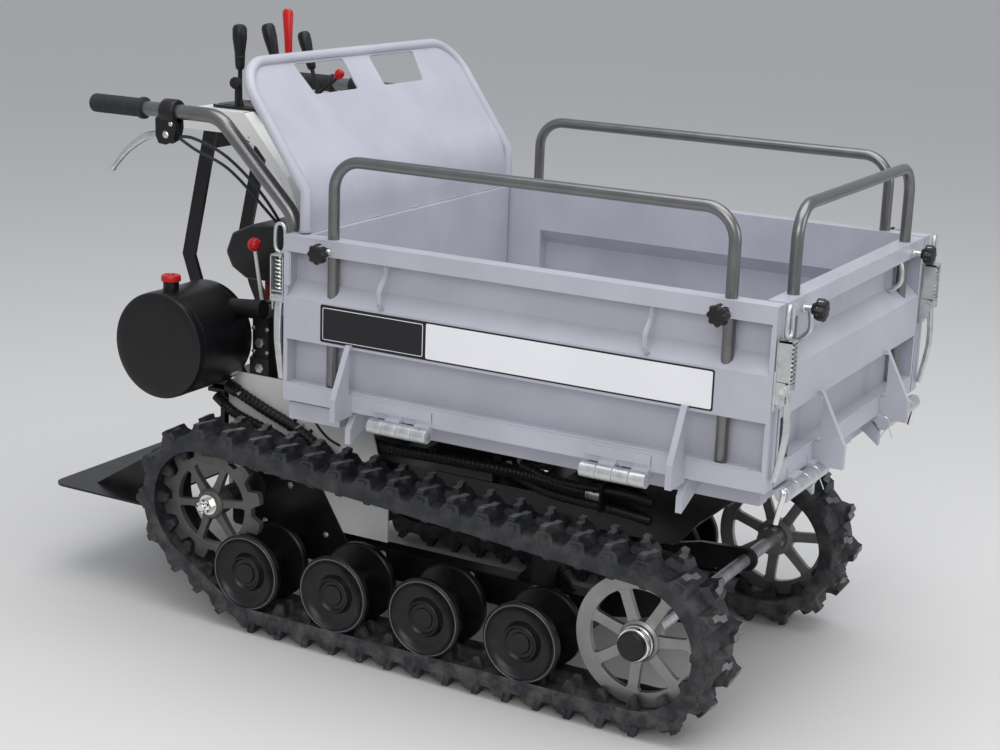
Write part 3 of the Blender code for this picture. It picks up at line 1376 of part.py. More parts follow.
def latch(name, face, outward, along):
    """Toggle latch: ring, spring frame, roller boss and curved lever, built on a vertical face.

    face is the seat point at the lever's pivot, outward its normal, along the horizontal direction in the face.
    """
    out, run, up = Vector(outward), Vector(along), Vector((0, 0, 1))
    seat = Vector(face)

    def at(u, v, w):
        return seat + run * u + up * v + out * w

    def block(u0, u1, v0, v1, w0, w1):
        a, b = at(u0, v0, w0), at(u1, v1, w1)
        return box([min(a[i], b[i]) for i in range(3)], [max(a[i], b[i]) for i in range(3)])

    shapes = [block(-LATCH_HALF, LATCH_HALF, -0.036, 0.030, SEAT, 0.006)]
    shapes.append(rod(at(-LATCH_HALF, 0.0, 0.014), at(LATCH_HALF, 0.0, 0.014), 0.010, 8))
    shapes.append(block(-0.014, -0.010, -0.004, 0.080, 0.004, LATCH_DEEP))
    shapes.append(block(0.010, 0.014, -0.004, 0.080, 0.004, LATCH_DEEP))
    shapes.append(block(-0.014, 0.014, 0.076, 0.080, 0.004, LATCH_DEEP))
    shapes.append(rod(at(0, 0.0, 0.014), at(0, 0.083, 0.014), 0.0075, 6))
    corners = (
        (0.0, 0.079), (-0.008, 0.085), (-0.011, 0.096), (-0.011, 0.117), (-0.008, 0.131), (0.0, 0.136),
    )
    corners += tuple((-u, v) for u, v in reversed(corners[1:5]))
    shapes.append(closed_tube([at(u, v, 0.014) for u, v in corners], 0.0028, out, 4))
    lever_route = [at(0, 0.0, 0.014), at(0, -0.070, 0.022), at(0, -0.150, 0.006)]
    shapes.append(tube(rounded(lever_route, 0.05, 2), 0.0055, 6))
    return solid(name, shapes, "zinc")


def hose(name, points):
    """A wrapped hose along a smooth route."""
    curve = bpy.data.curves.new(name, "CURVE")
    curve.dimensions = "3D"
    spline = curve.splines.new("POLY")
    route = smooth_route(points)
    spline.points.add(len(route) - 1)
    for point, place in zip(spline.points, route):
        point.co = (*place, 1.0)
    curve.bevel_depth = HOSE_RADIUS
    curve.bevel_resolution = 2
    curve.use_fill_caps = True
    curve.materials.append(material("black_plastic"))
    body = bpy.data.objects.new(name, curve)
    bpy.context.scene.collection.objects.link(body)
    return body


def smooth_route(points, steps=6):
    """A smooth curve through hand-chosen points."""
    points = [Vector(p) for p in points]
    padded = [points[0] * 2 - points[1]] + points + [points[-1] * 2 - points[-2]]
    route = []
    for i in range(1, len(padded) - 2):
        a, b, c, d = padded[i - 1 : i + 3]
        for step in range(steps):
            t = step / steps
            route.append(
                0.5 * (
                    2 * b + (c - a) * t + (2 * a - 5 * b + 4 * c - d) * t * t + (3 * b - a - 3 * c + d) * t**3
                )
            )
    route.append(points[-1])
    return route


def build_underframe():
    chassis("chassis_frame")
    rear_tower("rear_tower")
    pair(roller_beam, "roller_beam")
    pair(track, "track")
    pair(idler, "front_idler")
    pair(sprocket, "drive_sprocket")
    pair(side_cover, "side_cover")
    front_axle("front_axle")
    transmission("transmission")


def build_drive_and_controls():
    engine("engine")
    fuel_tank("fuel_tank")
    oil_tank("oil_tank")
    oil_cap("oil_cap")
    valve("tipping_valve")
    pair(handlebar, "handlebar")
    pair(grip, "grip")
    pair(brake_lever, "brake_lever")
    uprights("uprights")
    console("console")
    control_levers("control_levers")
    tipping_lever("tipping_lever")
    hose("hoses", HOSE_ROUTE)
    footboard("footboard")


def build_bed():
    cylinder_barrel("cylinder_barrel")
    cylinder_rod("cylinder_rod")
    bed("bed_frame")
    headboard("headboard")
    pair(drop_side, "side")
    gate("front_gate")
    pair(side_rail, "rail")
    gate_rail("rail_front")
    end_y = -BOX_HALF_WIDTH + PANEL / 2
    front = latch("latch_front_right", (BOX_FRONT, end_y, LATCH_Z), (1, 0, 0), (0, 1, 0))
    mirrored("latch_front_left", front)
    # The rear one looks sideways, on an upright strap behind the side's end
    place = (BOX_REAR - LATCH_HALF - SEAT, -BOX_HALF_WIDTH + LATCH_DEEP, LATCH_REAR_Z)
    rear = latch("latch_rear_right", place, (0, -1, 0), (1, 0, 0))
    mirrored("latch_rear_left", rear)


def set_on_ground():
    """Moves every piece from the working origin to the final one on the ground below the middle."""
    middle = (BOX_FRONT + FIN_OUT + FOOT_REAR) / 2
    for piece in bpy.context.scene.collection.objects:
        piece.location.x -= middle
        piece.location.z -= GROUND


def build():
    clear_scene()
    build_underframe()
    build_drive_and_controls()
    build_bed()
    set_on_ground()


build()
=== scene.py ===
"""The tracked dumper dressed for its picture: looks, finer pieces, camera and light."""

import json
import math

import bmesh
import bpy
from mathutils import Matrix, Vector


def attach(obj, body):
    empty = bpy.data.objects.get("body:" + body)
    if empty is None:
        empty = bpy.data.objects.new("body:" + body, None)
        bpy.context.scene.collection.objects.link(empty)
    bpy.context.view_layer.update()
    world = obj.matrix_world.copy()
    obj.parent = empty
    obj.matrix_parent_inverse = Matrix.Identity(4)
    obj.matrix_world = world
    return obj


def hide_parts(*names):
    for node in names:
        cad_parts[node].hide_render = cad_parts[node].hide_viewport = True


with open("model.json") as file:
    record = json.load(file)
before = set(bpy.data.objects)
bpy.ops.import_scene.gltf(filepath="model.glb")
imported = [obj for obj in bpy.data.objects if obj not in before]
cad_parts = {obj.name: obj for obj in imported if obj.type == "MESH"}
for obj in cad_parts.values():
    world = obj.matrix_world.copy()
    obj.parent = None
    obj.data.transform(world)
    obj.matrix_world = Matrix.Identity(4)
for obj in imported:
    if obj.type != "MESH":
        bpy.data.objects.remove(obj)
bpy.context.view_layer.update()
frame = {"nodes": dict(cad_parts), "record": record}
nodes = frame["nodes"]

# Camera: place, heading, fall and roll in degrees, focal length in image widths
EYE = Vector((1.7141, -3.004, 1.3956))
HEADING = 118.96
FALL = 14.81
ROLL = -2.1
FOCAL = 1.854
SENSOR = 36.0
FLOOR_REACH = 60.0

# Box
REAR = -0.1747
FRONT = 0.7474
HALF = 0.3909
RIM_TOP = 0.7898
RIM_LOW = 0.761
RIB_TOP = 0.6797
RIB_LOW = 0.6034
LEDGE = 0.5241
LOW = 0.4904
HINGE_OUT = 0.0115
HINGE_Z = 0.4776
KNUCKLE = 0.0134
SIDE_HINGES = (REAR + 0.1933, FRONT - 0.3153)
SIDE_PITCH = 0.0298
GATE_HINGE = 0.159
GATE_PITCH = 0.046
GATE_HALF = 0.3524
HINGE_GAP = 0.0004
SEAM = 0.0011
RAIL_X = (-0.0807, 0.6634)
RAIL_Y = 0.3744
RAIL_TOP = 0.9286
GATE_RAIL_X = 0.7309
GATE_RAIL_HALF = 0.285
KNOB_Z = 0.771
LATCH_Z = 0.658
LATCH_REAR_Z = 0.672

# Running gear
BELT = 0.022
LUG = 0.022
TRACK_OUT = 0.36
TRACK_WIDTH = 0.115
PITCHES = 42
PER_PITCH = 8
WHEEL_PLANE = 0.3176
IDLER = (0.5181, 0.1653)
IDLER_RADIUS = 0.121
SPROCKET = (-0.3904, 0.2309)
SPROCKET_RADIUS = 0.119
TEETH = 12
ROLLERS = (-0.2869, -0.0879, 0.1077, 0.3061)
ROLLER_RADIUS = 0.0763
ROLLER_Z = BELT + LUG + ROLLER_RADIUS + 0.0003

# Deck, handlebars and console
DECK_TOP = 0.4139
BAR_Z = 0.9706
BAR_HALF = 0.31
GRIP_X = (-0.6739, -0.5489)
CLAMP_X = -0.4879
CONSOLE_TOP = 0.9592


def camera():
    yaw, pitch, roll = (math.radians(a) for a in (HEADING, -FALL, ROLL))
    ahead = Vector((math.cos(pitch) * math.cos(yaw), math.cos(pitch) * math.sin(yaw), math.sin(pitch)))
    right = Vector((math.sin(yaw), -math.cos(yaw), 0.0))
    down = ahead.cross(right)
    row_x = right * math.cos(roll) + down * math.sin(roll)
    row_y = down * math.cos(roll) - right * math.sin(roll)
    data = bpy.data.cameras.new("camera")
    data.sensor_width = SENSOR
    data.lens = FOCAL * SENSOR
    eye = bpy.data.objects.new("camera", data)
    turn = Matrix((row_x, -row_y, -ahead)).transposed().to_4x4()
    eye.matrix_world = Matrix.Translation(EYE) @ turn
    bpy.context.scene.collection.objects.link(eye)
    bpy.context.scene.camera = eye


def area_light(name, place, target, size, power, colour=(1.0, 1.0, 1.0)):
    data = bpy.data.lights.new(name, "AREA")
    data.shape = "RECTANGLE"
    data.size, data.size_y = size
    data.energy = power
    data.color = colour
    lamp = bpy.data.objects.new(name, data)
    lamp.location = place
    lamp.rotation_euler = (Vector(target) - Vector(place)).to_track_quat("-Z", "Y").to_euler()
    bpy.context.scene.collection.objects.link(lamp)


def flat_material(name, colour, roughness):
    made = bpy.data.materials.new(name)
    made.use_nodes = True
    shader = made.node_tree.nodes["Principled BSDF"]
    shader.inputs["Base Color"].default_value = (*colour, 1.0)
    shader.inputs["Roughness"].default_value = roughness
    return made


def studio():
    """Wide pale floor under soft light."""
    bm = bmesh.new()
    bmesh.ops.create_grid(bm, x_segments=1, y_segments=1, size=FLOOR_REACH)
    mesh = bpy.data.meshes.new("floor")
    bm.to_mesh(mesh)
    bm.free()
    floor = bpy.data.objects.new("floor", mesh)
    floor.data.materials.append(flat_material("floor", (0.66, 0.65, 0.64), 0.6))
    bpy.context.scene.collection.objects.link(floor)
    world = bpy.data.worlds.new("world")
    world.use_nodes = True
    background = world.node_tree.nodes["Background"]
    background.inputs["Color"].default_value = (0.9, 0.94, 1.0, 1.0)
    background.inputs["Strength"].default_value = 0.55
    bpy.context.scene.world = world
    area_light("sky", (0.8, -0.5, 4.2), (0.0, 0.0, 0.4), (4.0, 4.0), 132.0)
    area_light("right", (1.6, -4.0, 2.6), (0.1, 0.0, 0.5), (2.5, 1.8), 52.0, (1.0, 0.98, 0.95))
    area_light("front", (4.2, 0.6, 1.8), (0.2, 0.0, 0.5), (2.0, 1.6), 24.0)
    bpy.context.scene.view_settings.view_transform = "Standard"


# Finishes: colour, roughness, metallic, spread of the mottling, its size, dust colour share, bump height
LOOKS = {
    "box_paint": ((0.435, 0.437, 0.498), 0.36, 0.0, 0.05, 9.0, 0.06, 0.02),
    "black_paint": ((0.0045, 0.0045, 0.0056), 0.32, 0.0, 0.03, 14.0, 0.022, 0.04),
    "rubber": ((0.015, 0.0175, 0.024), 0.55, 0.0, 0.14, 22.0, 0.16, 0.3),
    # Paler tops of the track pads: scuff and dust, with a painted highlight
    "rubber_top_scuff_and_highlight": ((0.15, 0.156, 0.168), 0.72, 0.0, 0.24, 46.0, 0.3, 0.3),
    "zinc": ((0.62, 0.63, 0.64), 0.36, 0.9, 0.1, 60.0, 0.05, 0.12),
    "bright_steel": ((0.76, 0.76, 0.74), 0.16, 1.0, 0.02, 30.0, 0.0, 0.02),
    "tube_steel": ((0.2, 0.2, 0.2), 0.3, 0.9, 0.05, 24.0, 0.04, 0.04),
    "raw_steel": ((0.3, 0.295, 0.29), 0.38, 0.85, 0.08, 25.0, 0.08, 0.1),
    "cast": ((0.13, 0.125, 0.12), 0.52, 0.55, 0.1, 34.0, 0.1, 0.4),
    "white_paint": ((0.74, 0.74, 0.72), 0.32, 0.0, 0.03, 9.0, 0.05, 0.02),
    "red_plastic": ((0.5, 0.01, 0.012), 0.28, 0.0, 0.03, 20.0, 0.0, 0.02),
    "black_plastic": ((0.008, 0.008, 0.009), 0.4, 0.0, 0.03, 26.0, 0.02, 0.12),
    "engine_metal": ((0.035, 0.035, 0.04), 0.46, 0.5, 0.06, 25.0, 0.08, 0.15),
    "sign_white": ((0.8, 0.8, 0.83), 0.22, 0.0, 0.02, 6.0, 0.0, 0.0),
    "sign_black": ((0.01, 0.01, 0.012), 0.22, 0.0, 0.02, 6.0, 0.0, 0.0),
    "red_paint": ((0.2, 0.012, 0.01), 0.35, 0.0, 0.04, 12.0, 0.08, 0.03),
}
DUST = (0.26, 0.23, 0.19)
# Finishes already made, by name
FINISHES = {}


def add(tree, kind, values):
    """A new node in a material, with some of its inputs set."""
    node = tree.nodes.new("ShaderNode" + kind)
    for name, value in values.items():
        node.inputs[name].default_value = value
    return node


def finish(name):
    """A procedural finish: mottled colour, dust towards the ground, uneven gloss and fine relief."""
    if name in FINISHES:
        return FINISHES[name]
    colour, roughness, metallic, spread, scale, dust, relief = LOOKS[name]
    made = bpy.data.materials.new(name)
    made.use_nodes = True
    tree = made.node_tree
    link = tree.links.new
    shader = tree.nodes["Principled BSDF"]
    shader.inputs["Metallic"].default_value = metallic
    shader.inputs["Specular IOR Level"].default_value = 0.35
    where = add(tree, "TexCoord", {})
    noise = add(tree, "TexNoise", {"Scale": scale, "Detail": 6.0})
    link(where.outputs["Object"], noise.inputs["Vector"])
    ramp = add(tree, "ValToRGB", {})
    low = [max(c * (1.0 - spread * 2), 0.0) for c in colour]
    high = [min(c * (1.0 + spread) + spread * 0.03, 1.0) for c in colour]
    for i, place, shade in ((0, 0.3, low), (1, 0.72, high)):
        ramp.color_ramp.elements[i].position = place
        ramp.color_ramp.elements[i].color = (*shade, 1.0)
    link(noise.outputs["Fac"], ramp.inputs["Fac"])
    result = ramp.outputs["Color"]
    if dust > 0.0:
        result = dusted(tree, where, result, dust)
    link(result, shader.inputs["Base Color"])
    dull, glossy = min(roughness + 0.1, 1.0), max(roughness - 0.08, 0.02)
    span = add(tree, "MapRange", {"To Min": glossy, "To Max": dull})
    link(noise.outputs["Fac"], span.inputs["Value"])
    link(span.outputs["Result"], shader.inputs["Roughness"])
    if relief > 0.0:
        grain = add(tree, "TexNoise", {"Scale": scale * 18, "Detail": 3.0})
        link(where.outputs["Object"], grain.inputs["Vector"])
        bump = add(tree, "Bump", {"Strength": relief, "Distance": 0.0008})
        link(grain.outputs["Fac"], bump.inputs["Height"])
        link(bump.outputs["Normal"], shader.inputs["Normal"])
    FINISHES[name] = made
    return made


def dusted(tree, where, colour, share):
    """Mixes a thin dust over the colour, more of it near the ground, broken up by noise."""
    link = tree.links.new
    part = add(tree, "SeparateXYZ", {})
    link(where.outputs["Object"], part.inputs["Vector"])
    height = add(tree, "MapRange", {"From Min": 0.0, "From Max": 0.55, "To Min": 1.0, "To Max": 0.15})
    link(part.outputs["Z"], height.inputs["Value"])
    spots = add(tree, "TexNoise", {"Scale": 30.0, "Detail": 8.0, "Roughness": 0.65})
    link(where.outputs["Object"], spots.inputs["Vector"])
    patch = add(tree, "MapRange", {"From Min": 0.42, "From Max": 0.7, "To Max": min(share * 2.0, 1.0)})
    link(spots.outputs["Fac"], patch.inputs["Value"])
    both = add(tree, "Math", {})
    both.operation = "MULTIPLY"
    link(height.outputs["Result"], both.inputs[0])
    link(patch.outputs["Result"], both.inputs[1])
    mix = add(tree, "Mix", {})
    mix.data_type = "RGBA"
    mix.inputs["B"].default_value = (*DUST, 1.0)
    link(both.outputs["Value"], mix.inputs["Factor"])
    link(colour, mix.inputs["A"])
    return mix.outputs["Result"]


def basis(direction):
    return Vector(direction).to_track_quat("Z", "Y").to_matrix().to_4x4()


def arc(centre, radius, start, end, steps):
    points = []
    for i in range(steps + 1):
        angle = math.radians(start + (end - start) * i / steps)
        points.append((centre[0] + radius * math.cos(angle), centre[1] + radius * math.sin(angle)))
    return points


def rounded(points, radius, steps=8):
    """An open route through points, each inner corner replaced by an arc of this radius."""
    points = [Vector(p) for p in points]
    route = [points[0]]
    for before, corner, after in zip(points, points[1:], points[2:]):
        inward, outward = (before - corner).normalized(), (after - corner).normalized()
        opening = inward.angle(outward)
        trim = radius / math.tan(opening / 2)
        centre = corner + (inward + outward).normalized() * radius / math.sin(opening / 2)
        first, last = corner + inward * trim - centre, corner + outward * trim - centre
        sweep = first.angle(last)
        for i in range(steps + 1):
            t = i / steps
            swing = first * math.sin((1 - t) * sweep) + last * math.sin(t * sweep)
            route.append(centre + swing / math.sin(sweep))
    route.append(points[-1])
    return route


def rounded_loop(corners, radius, steps=5):
    """Closed outline in a plane with each corner rounded."""
    outline = []
    count = len(corners)
    for i in range(count):
        run = [Vector((*corners[(i + k) % count], 0.0)) for k in (-1, 0, 1)]
        outline += [(p.x, p.y) for p in rounded(run, radius, steps)[1:-1]]
    return outline


def smooth_route(points, steps=8):
    """A smooth curve through given points."""
    points = [Vector(p) for p in points]
    padded = [points[0] * 2 - points[1]] + points + [points[-1] * 2 - points[-2]]
    route = []
    for i in range(1, len(padded) - 2):
        a, b, c, d = padded[i - 1 : i + 3]
        for step in range(steps):
            t = step / steps
            square, cube = t * t, t**3
            rise = 2 * b + (c - a) * t + (2 * a - 5 * b + 4 * c - d) * square
            route.append(0.5 * (rise + (3 * b - a - 3 * c + d) * cube))
    route.append(points[-1])
    return route


def round_rect(low, high, radius, steps=5):
    """Outline of a rectangle with rounded corners."""
    left, right = low[0] + radius, high[0] - radius
    foot, top = low[1] + radius, high[1] - radius
    outline = []
    for turn, corner in enumerate(((right, top), (left, top), (left, foot), (right, foot))):
        outline += arc(corner, radius, 90 * turn, 90 * turn + 90, steps)
    return outline


def heading(route, i):
    """Direction of an open route at one of its points."""
    return (route[min(i + 1, len(route) - 1)] - route[max(i - 1, 0)]).normalized()


def full_turn(count):
    """Equal steps of angle round a full turn."""
    return [2 * math.pi * k / count for k in range(count)]


def hoop(centre, side, other, radius, sides):
    """Points of a circle round a centre, in the plane of two directions."""
    return [centre + (side * math.cos(a) + other * math.sin(a)) * radius for a in full_turn(sides)]


AXES = {"x": (1, 2, 0), "y": (0, 2, 1), "z": (0, 1, 2)}
SQUARE = ((-1, -1), (1, -1), (1, 1), (-1, 1))
OUT_RIGHT = (0, -1, 0)


class Piece:
    """Collects shapes of one or more finishes into a single object."""

    def __init__(self, look):
        self.bm = bmesh.new()
        self.looks = [look]
        self.now = 0

    def use(self, look):
        self.mark()
        if look not in self.looks:
            self.looks.append(look)
        self.now = self.looks.index(look)

    def mark(self):
        for face in self.bm.faces:
            if not face.tag:
                face.material_index = self.now
                face.tag = True

    def loft(self, rings, closed=False):
        """Faces between successive rings of points; a ring of one point closes to a tip."""
        rows = [[self.bm.verts.new(p) for p in ring] for ring in rings]
        pairs = list(zip(rows, rows[1:]))
        if closed:
            pairs.append((rows[-1], rows[0]))
        for a, b in pairs:
            count = max(len(a), len(b))
            for k in range(count):
                j = (k + 1) % count
                if len(a) == 1 and len(b) > 1:
                    self.bm.faces.new((a[0], b[j], b[k]))
                elif len(b) == 1 and len(a) > 1:
                    self.bm.faces.new((a[k], a[j], b[0]))
                elif len(a) > 1:
                    self.bm.faces.new((a[k], a[j], b[j], b[k]))
        if not closed:
            for row in (rows[0], rows[-1]):
                if len(row) > 2:
                    self.bm.faces.new(row)

    def block(self, low, high):
        (x0, y0, z0), (x1, y1, z1) = low, high
        x0, x1 = sorted((x0, x1))
        y0, y1 = sorted((y0, y1))
        z0, z1 = sorted((z0, z1))
        self.loft([[(x0, y0, z), (x1, y0, z), (x1, y1, z), (x0, y1, z)] for z in (z0, z1)])

    def extrude(self, outline, axis, low, high):
        first, second, third = AXES[axis]
        rings = []
        for level in (low, high):
            ring = []
            for point in outline:
                place = [0.0, 0.0, 0.0]
                place[first], place[second], place[third] = point[0], point[1], level
                ring.append(place)
            rings.append(ring)
        self.loft(rings)

    def turned(self, profile, centre, axis, sides=32, closed=False, lobes=0, swell=0.0):
        """Turned form from (distance along the axis, radius); lobes swell the radius round the axis."""
        place = Matrix.Translation(centre) @ basis(axis)
        rings = []
        for along, radius in profile:
            if radius <= 0.0:
                rings.append([place @ Vector((0.0, 0.0, along))])
                continue
            ring = []
            for angle in full_turn(sides):
                reach = radius + (swell * math.cos(lobes * angle) if lobes else 0.0)
                ring.append(place @ Vector((reach * math.cos(angle), reach * math.sin(angle), along)))
            rings.append(ring)
        self.loft(rings, closed=closed)

    def bar(self, start, end, radius, sides=20):
        start, end = Vector(start), Vector(end)
        self.turned([(0.0, radius), ((end - start).length, radius)], start, end - start, sides)

    def pipe(self, route, radius, sides=16, closed=False):
        """A bar swept along a route."""
        route = [Vector(p) for p in route]
        rings = []
        side = None
        for i, point in enumerate(route):
            if closed:
                ahead = (route[(i + 1) % len(route)] - route[i - 1]).normalized()
            else:
                ahead = heading(route, i)
            if side is None:
                side = ahead.orthogonal().normalized()
            side = (side - ahead * side.dot(ahead)).normalized()
            rings.append(hoop(point, side, ahead.cross(side), radius, sides))
        self.loft(rings, closed=closed)

    def sheet(self, outline, holes, place, thick):
        """A flat plate with holes in the plane of a 4x4 place; its thickness is along z."""
        edges = []
        for loop in [outline] + list(holes):
            row = [self.bm.verts.new(place @ Vector((u, v, -thick / 2))) for u, v in loop]
            edges += [self.bm.edges.new((row[i], row[(i + 1) % len(row)])) for i in range(len(row))]
        made = bmesh.ops.triangle_fill(self.bm, edges=edges, use_beauty=True, use_dissolve=False)
        faces = [f for f in made["geom"] if isinstance(f, bmesh.types.BMFace)]
        grown = bmesh.ops.extrude_face_region(self.bm, geom=faces, use_keep_orig=True)
        shift = place.to_3x3() @ Vector((0.0, 0.0, thick))
        points = [v for v in grown["geom"] if isinstance(v, bmesh.types.BMVert)]
        bmesh.ops.translate(self.bm, vec=shift, verts=points)

    def bolt(self, place, axis, size=0.006, tall=0.004):
        """Hexagon head on a round washer."""
        axis = Vector(axis).normalized()
        self.turned([(0.0, size * 1.25), (tall * 0.25, size * 1.25)], place, axis, 20)
        foot = Vector(place) + axis * tall * 0.2
        self.turned([(0.0, size * 0.95), (tall * 0.8, size * 0.95), (tall, size * 0.8)], foot, axis, 6)

    def make(self, name, body, node=None, bevel=0.0, twin=False, angle=35.0):
        self.mark()
        bmesh.ops.recalc_face_normals(self.bm, faces=self.bm.faces)
        made = [self.place(name, body, node, bevel, angle)]
        if twin:
            bmesh.ops.transform(self.bm, matrix=Matrix.Diagonal((1.0, -1.0, 1.0, 1.0)), verts=self.bm.verts)
            bmesh.ops.reverse_faces(self.bm, faces=self.bm.faces)
            other = [text.replace("right", "left") if text else text for text in (name, body, node)]
            made.append(self.place(*other, bevel, angle))
        self.bm.free()
        return made

    def place(self, name, body, node, bevel, angle):
        mesh = bpy.data.meshes.new(name)
        self.bm.to_mesh(mesh)
        for look in self.looks:
            mesh.materials.append(finish(look))
        mesh.shade_smooth()
        mesh.set_sharp_from_angle(angle=math.radians(angle))
        made = bpy.data.objects.new(name, mesh)
        bpy.context.scene.collection.objects.link(made)
        if bevel > 0.0:
            soften(made, bevel)
        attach(made, body)
        if node:
            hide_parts(node)
        return made


def soften(target, width):
    """Rounds the edges a little."""
    edge = target.modifiers.new("edges", "BEVEL")
    edge.width = width
    edge.segments = 2
    edge.limit_method = "ANGLE"
    edge.angle_limit = math.radians(38.0)
    edge.harden_normals = True


def line_angle(low_centre, low_radius, high_centre, high_radius, upper):
    """Angle of the normal of the common outer tangent, for the belt's straight runs."""
    dx, dz = high_centre[0] - low_centre[0], high_centre[1] - low_centre[1]
    lean = math.asin((low_radius - high_radius) / math.hypot(dx, dz))
    base = math.atan2(dz, dx)
    return base + math.pi / 2 - lean if upper else base - math.pi / 2 + lean


def belt_route(count):
    """The belt's inner line, clockwise seen from the right, at equal steps."""
    bend = ROLLER_RADIUS + 0.0015
    low = (ROLLERS[0], BELT + LUG + bend)
    top = line_angle(SPROCKET, SPROCKET_RADIUS, IDLER, IDLER_RADIUS, True)
    rise = line_angle(SPROCKET, SPROCKET_RADIUS, low, bend, False)
    corners = []
    steps = 60
    sweeps = (
        (IDLER, IDLER_RADIUS, top, -math.pi / 2),
        (low, bend, -math.pi / 2, rise),
        (SPROCKET, SPROCKET_RADIUS, rise, top - 2 * math.pi),
    )
    for centre, radius, start, end in sweeps:
        for step in range(steps + 1):
            angle = start + (end - start) * step / steps
            corners.append((centre[0] + radius * math.cos(angle), centre[1] + radius * math.sin(angle)))
    closed = corners + corners[:1]
    lengths = [math.dist(a, b) for a, b in zip(closed, closed[1:])]
    total = sum(lengths)
    points = []
    edge, gone = 0, 0.0
    for i in range(count):
        target = total * i / count
        while gone + lengths[edge] < target:
            gone += lengths[edge]
            edge += 1
        t = (target - gone) / lengths[edge]
        a, b = closed[edge], closed[edge + 1]
        points.append(Vector((a[0] + (b[0] - a[0]) * t, 0.0, a[1] + (b[1] - a[1]) * t)))
    return points


def belt_places():
    """Each step of the belt: its point, its run and its outward side."""
    count = PITCHES * PER_PITCH
    route = belt_route(count)
    places = []
    for i, point in enumerate(route):
        along = (route[(i + 1) % count] - route[i - 1]).normalized()
        places.append((point, along, Vector((-along.z, 0.0, along.x))))
    return places


def lump(piece, place, low_y, high_y, rows):
    """A tapered block on the belt from rows of half length, height and pull from both ends."""
    point, along, out = place
    rings = []
    for half, height, pull in rows:
        near, far = low_y + pull, high_y - pull
        ring = []
        for s, y in ((-half, near), (half, near), (half, far), (-half, far)):
            ring.append(point + along * s + out * height + Vector((0.0, y, 0.0)))
        rings.append(ring)
    piece.loft(rings)


def pad(piece, place, low_y, high_y, sign):
    """The stepped wearing pad on a lug: two short bars joined by a slanting one."""
    point, along, out = place
    span = high_y - low_y
    centre_y = (low_y + high_y) / 2
    mid_low, mid_high = low_y + span * 0.4, low_y + span * 0.62
    shape = [(-0.0115, low_y), (0.0015, low_y), (0.003, mid_low), (0.011, mid_high), (0.0115, high_y)]
    shape += [(-0.0015, high_y), (-0.003, mid_high), (-0.011, mid_low)]
    crown = BELT + LUG - 0.0004
    rings = []
    layers = ((BELT + LUG * 0.45, 1.25, 1.0), (crown - 0.0012, 1.0, 1.0), (crown, 0.9, 0.994))
    for height, swell, squeeze in layers:
        ring = []
        for s, y in shape:
            aside = Vector((0.0, centre_y + (y - centre_y) * squeeze, 0.0))
            ring.append(point + along * s * swell * sign + out * height + aside)
        rings.append(ring)
    piece.loft(rings)


def scuff_and_highlight_tops(piece, places):
    """The tops of the wearing pads are paler: scuffed and dusty, with a painted highlight on top."""
    piece.mark()
    piece.looks.append("rubber_top_scuff_and_highlight")
    line = [place[0] for place in places[::2]]
    for face in piece.bm.faces:
        if len(face.verts) != 8:
            continue
        centre = face.calc_center_median()
        height = min(math.hypot(centre.x - p.x, centre.z - p.z) for p in line)
        if height > BELT + LUG * 0.8:
            face.material_index = 1


def tracks():
    """Rubber belts with staggered lugs joined at the middle, edge webs and guide horns."""
    near, far = -TRACK_OUT, -TRACK_OUT + TRACK_WIDTH
    middle = (near + far) / 2
    places = belt_places()
    piece = Piece("rubber")
    # Belt section: (y, height above the inner face)
    lip, deep = 0.0034, -0.0085
    section = [(near + lip, 0.0), (near + lip, deep), (near + 0.001, deep), (near, deep + 0.002)]
    section += [(near, BELT - 0.004), (near + 0.006, BELT), (far - 0.006, BELT), (far, BELT - 0.004)]
    section += [(far, deep + 0.002), (far - 0.001, deep), (far - lip, deep), (far - lip, 0.0)]
    rings = []
    for point, _, out in places:
        rings.append([point + out * h + Vector((0.0, y, 0.0)) for y, h in section])
    piece.loft(rings, closed=True)
    # Blocks on the belt: (half length, height, pull from both ends)
    lug = ((0.0225, BELT - 0.004, 0.0), (0.0125, BELT + LUG * 0.6, 0.007))
    web = ((0.0085, 0.004, 0.0), (0.0075, BELT + 0.008, 0.0))
    horn = ((0.0135, 0.002, 0.0), (0.012, -0.008, 0.001), (0.006, -0.022, 0.003))
    halves = ((0, near, middle + 0.004, near, 1), (PER_PITCH // 2, middle - 0.004, far, far, -1))
    for start in range(0, len(places), PER_PITCH):
        for phase, low_y, high_y, edge, inward in halves:
            place = places[start + phase]
            lump(piece, place, low_y, high_y, lug)
            pad(piece, place, low_y + 0.009, high_y - 0.006, inward)
            lump(piece, place, *sorted((edge + inward * 0.0002, edge + inward * 0.01)), web)
        for low_y, high_y in ((-0.022, -0.008), (0.008, 0.022)):
            lump(piece, places[start], -WHEEL_PLANE + low_y, -WHEEL_PLANE + high_y, horn)
    scuff_and_highlight_tops(piece, places)
    piece.make("track_tread_right", "chassis", "track_right", bevel=0.0018, twin=True)


def spokes(piece, centre, count, rows):
    """Flat spokes round a wheel from rows of reach, half width and half thickness."""
    for i in range(count):
        turn = math.radians(360.0 * i / count + 8.0)
        radial = Vector((math.cos(turn), 0.0, math.sin(turn)))
        across = Vector((-radial.z, 0.0, radial.x))
        rings = []
        for reach, wide, thick in rows:
            middle = Vector(centre) + radial * reach
            rings.append([middle + across * a * wide + Vector((0, b * thick, 0)) for a, b in SQUARE])
        piece.loft(rings)


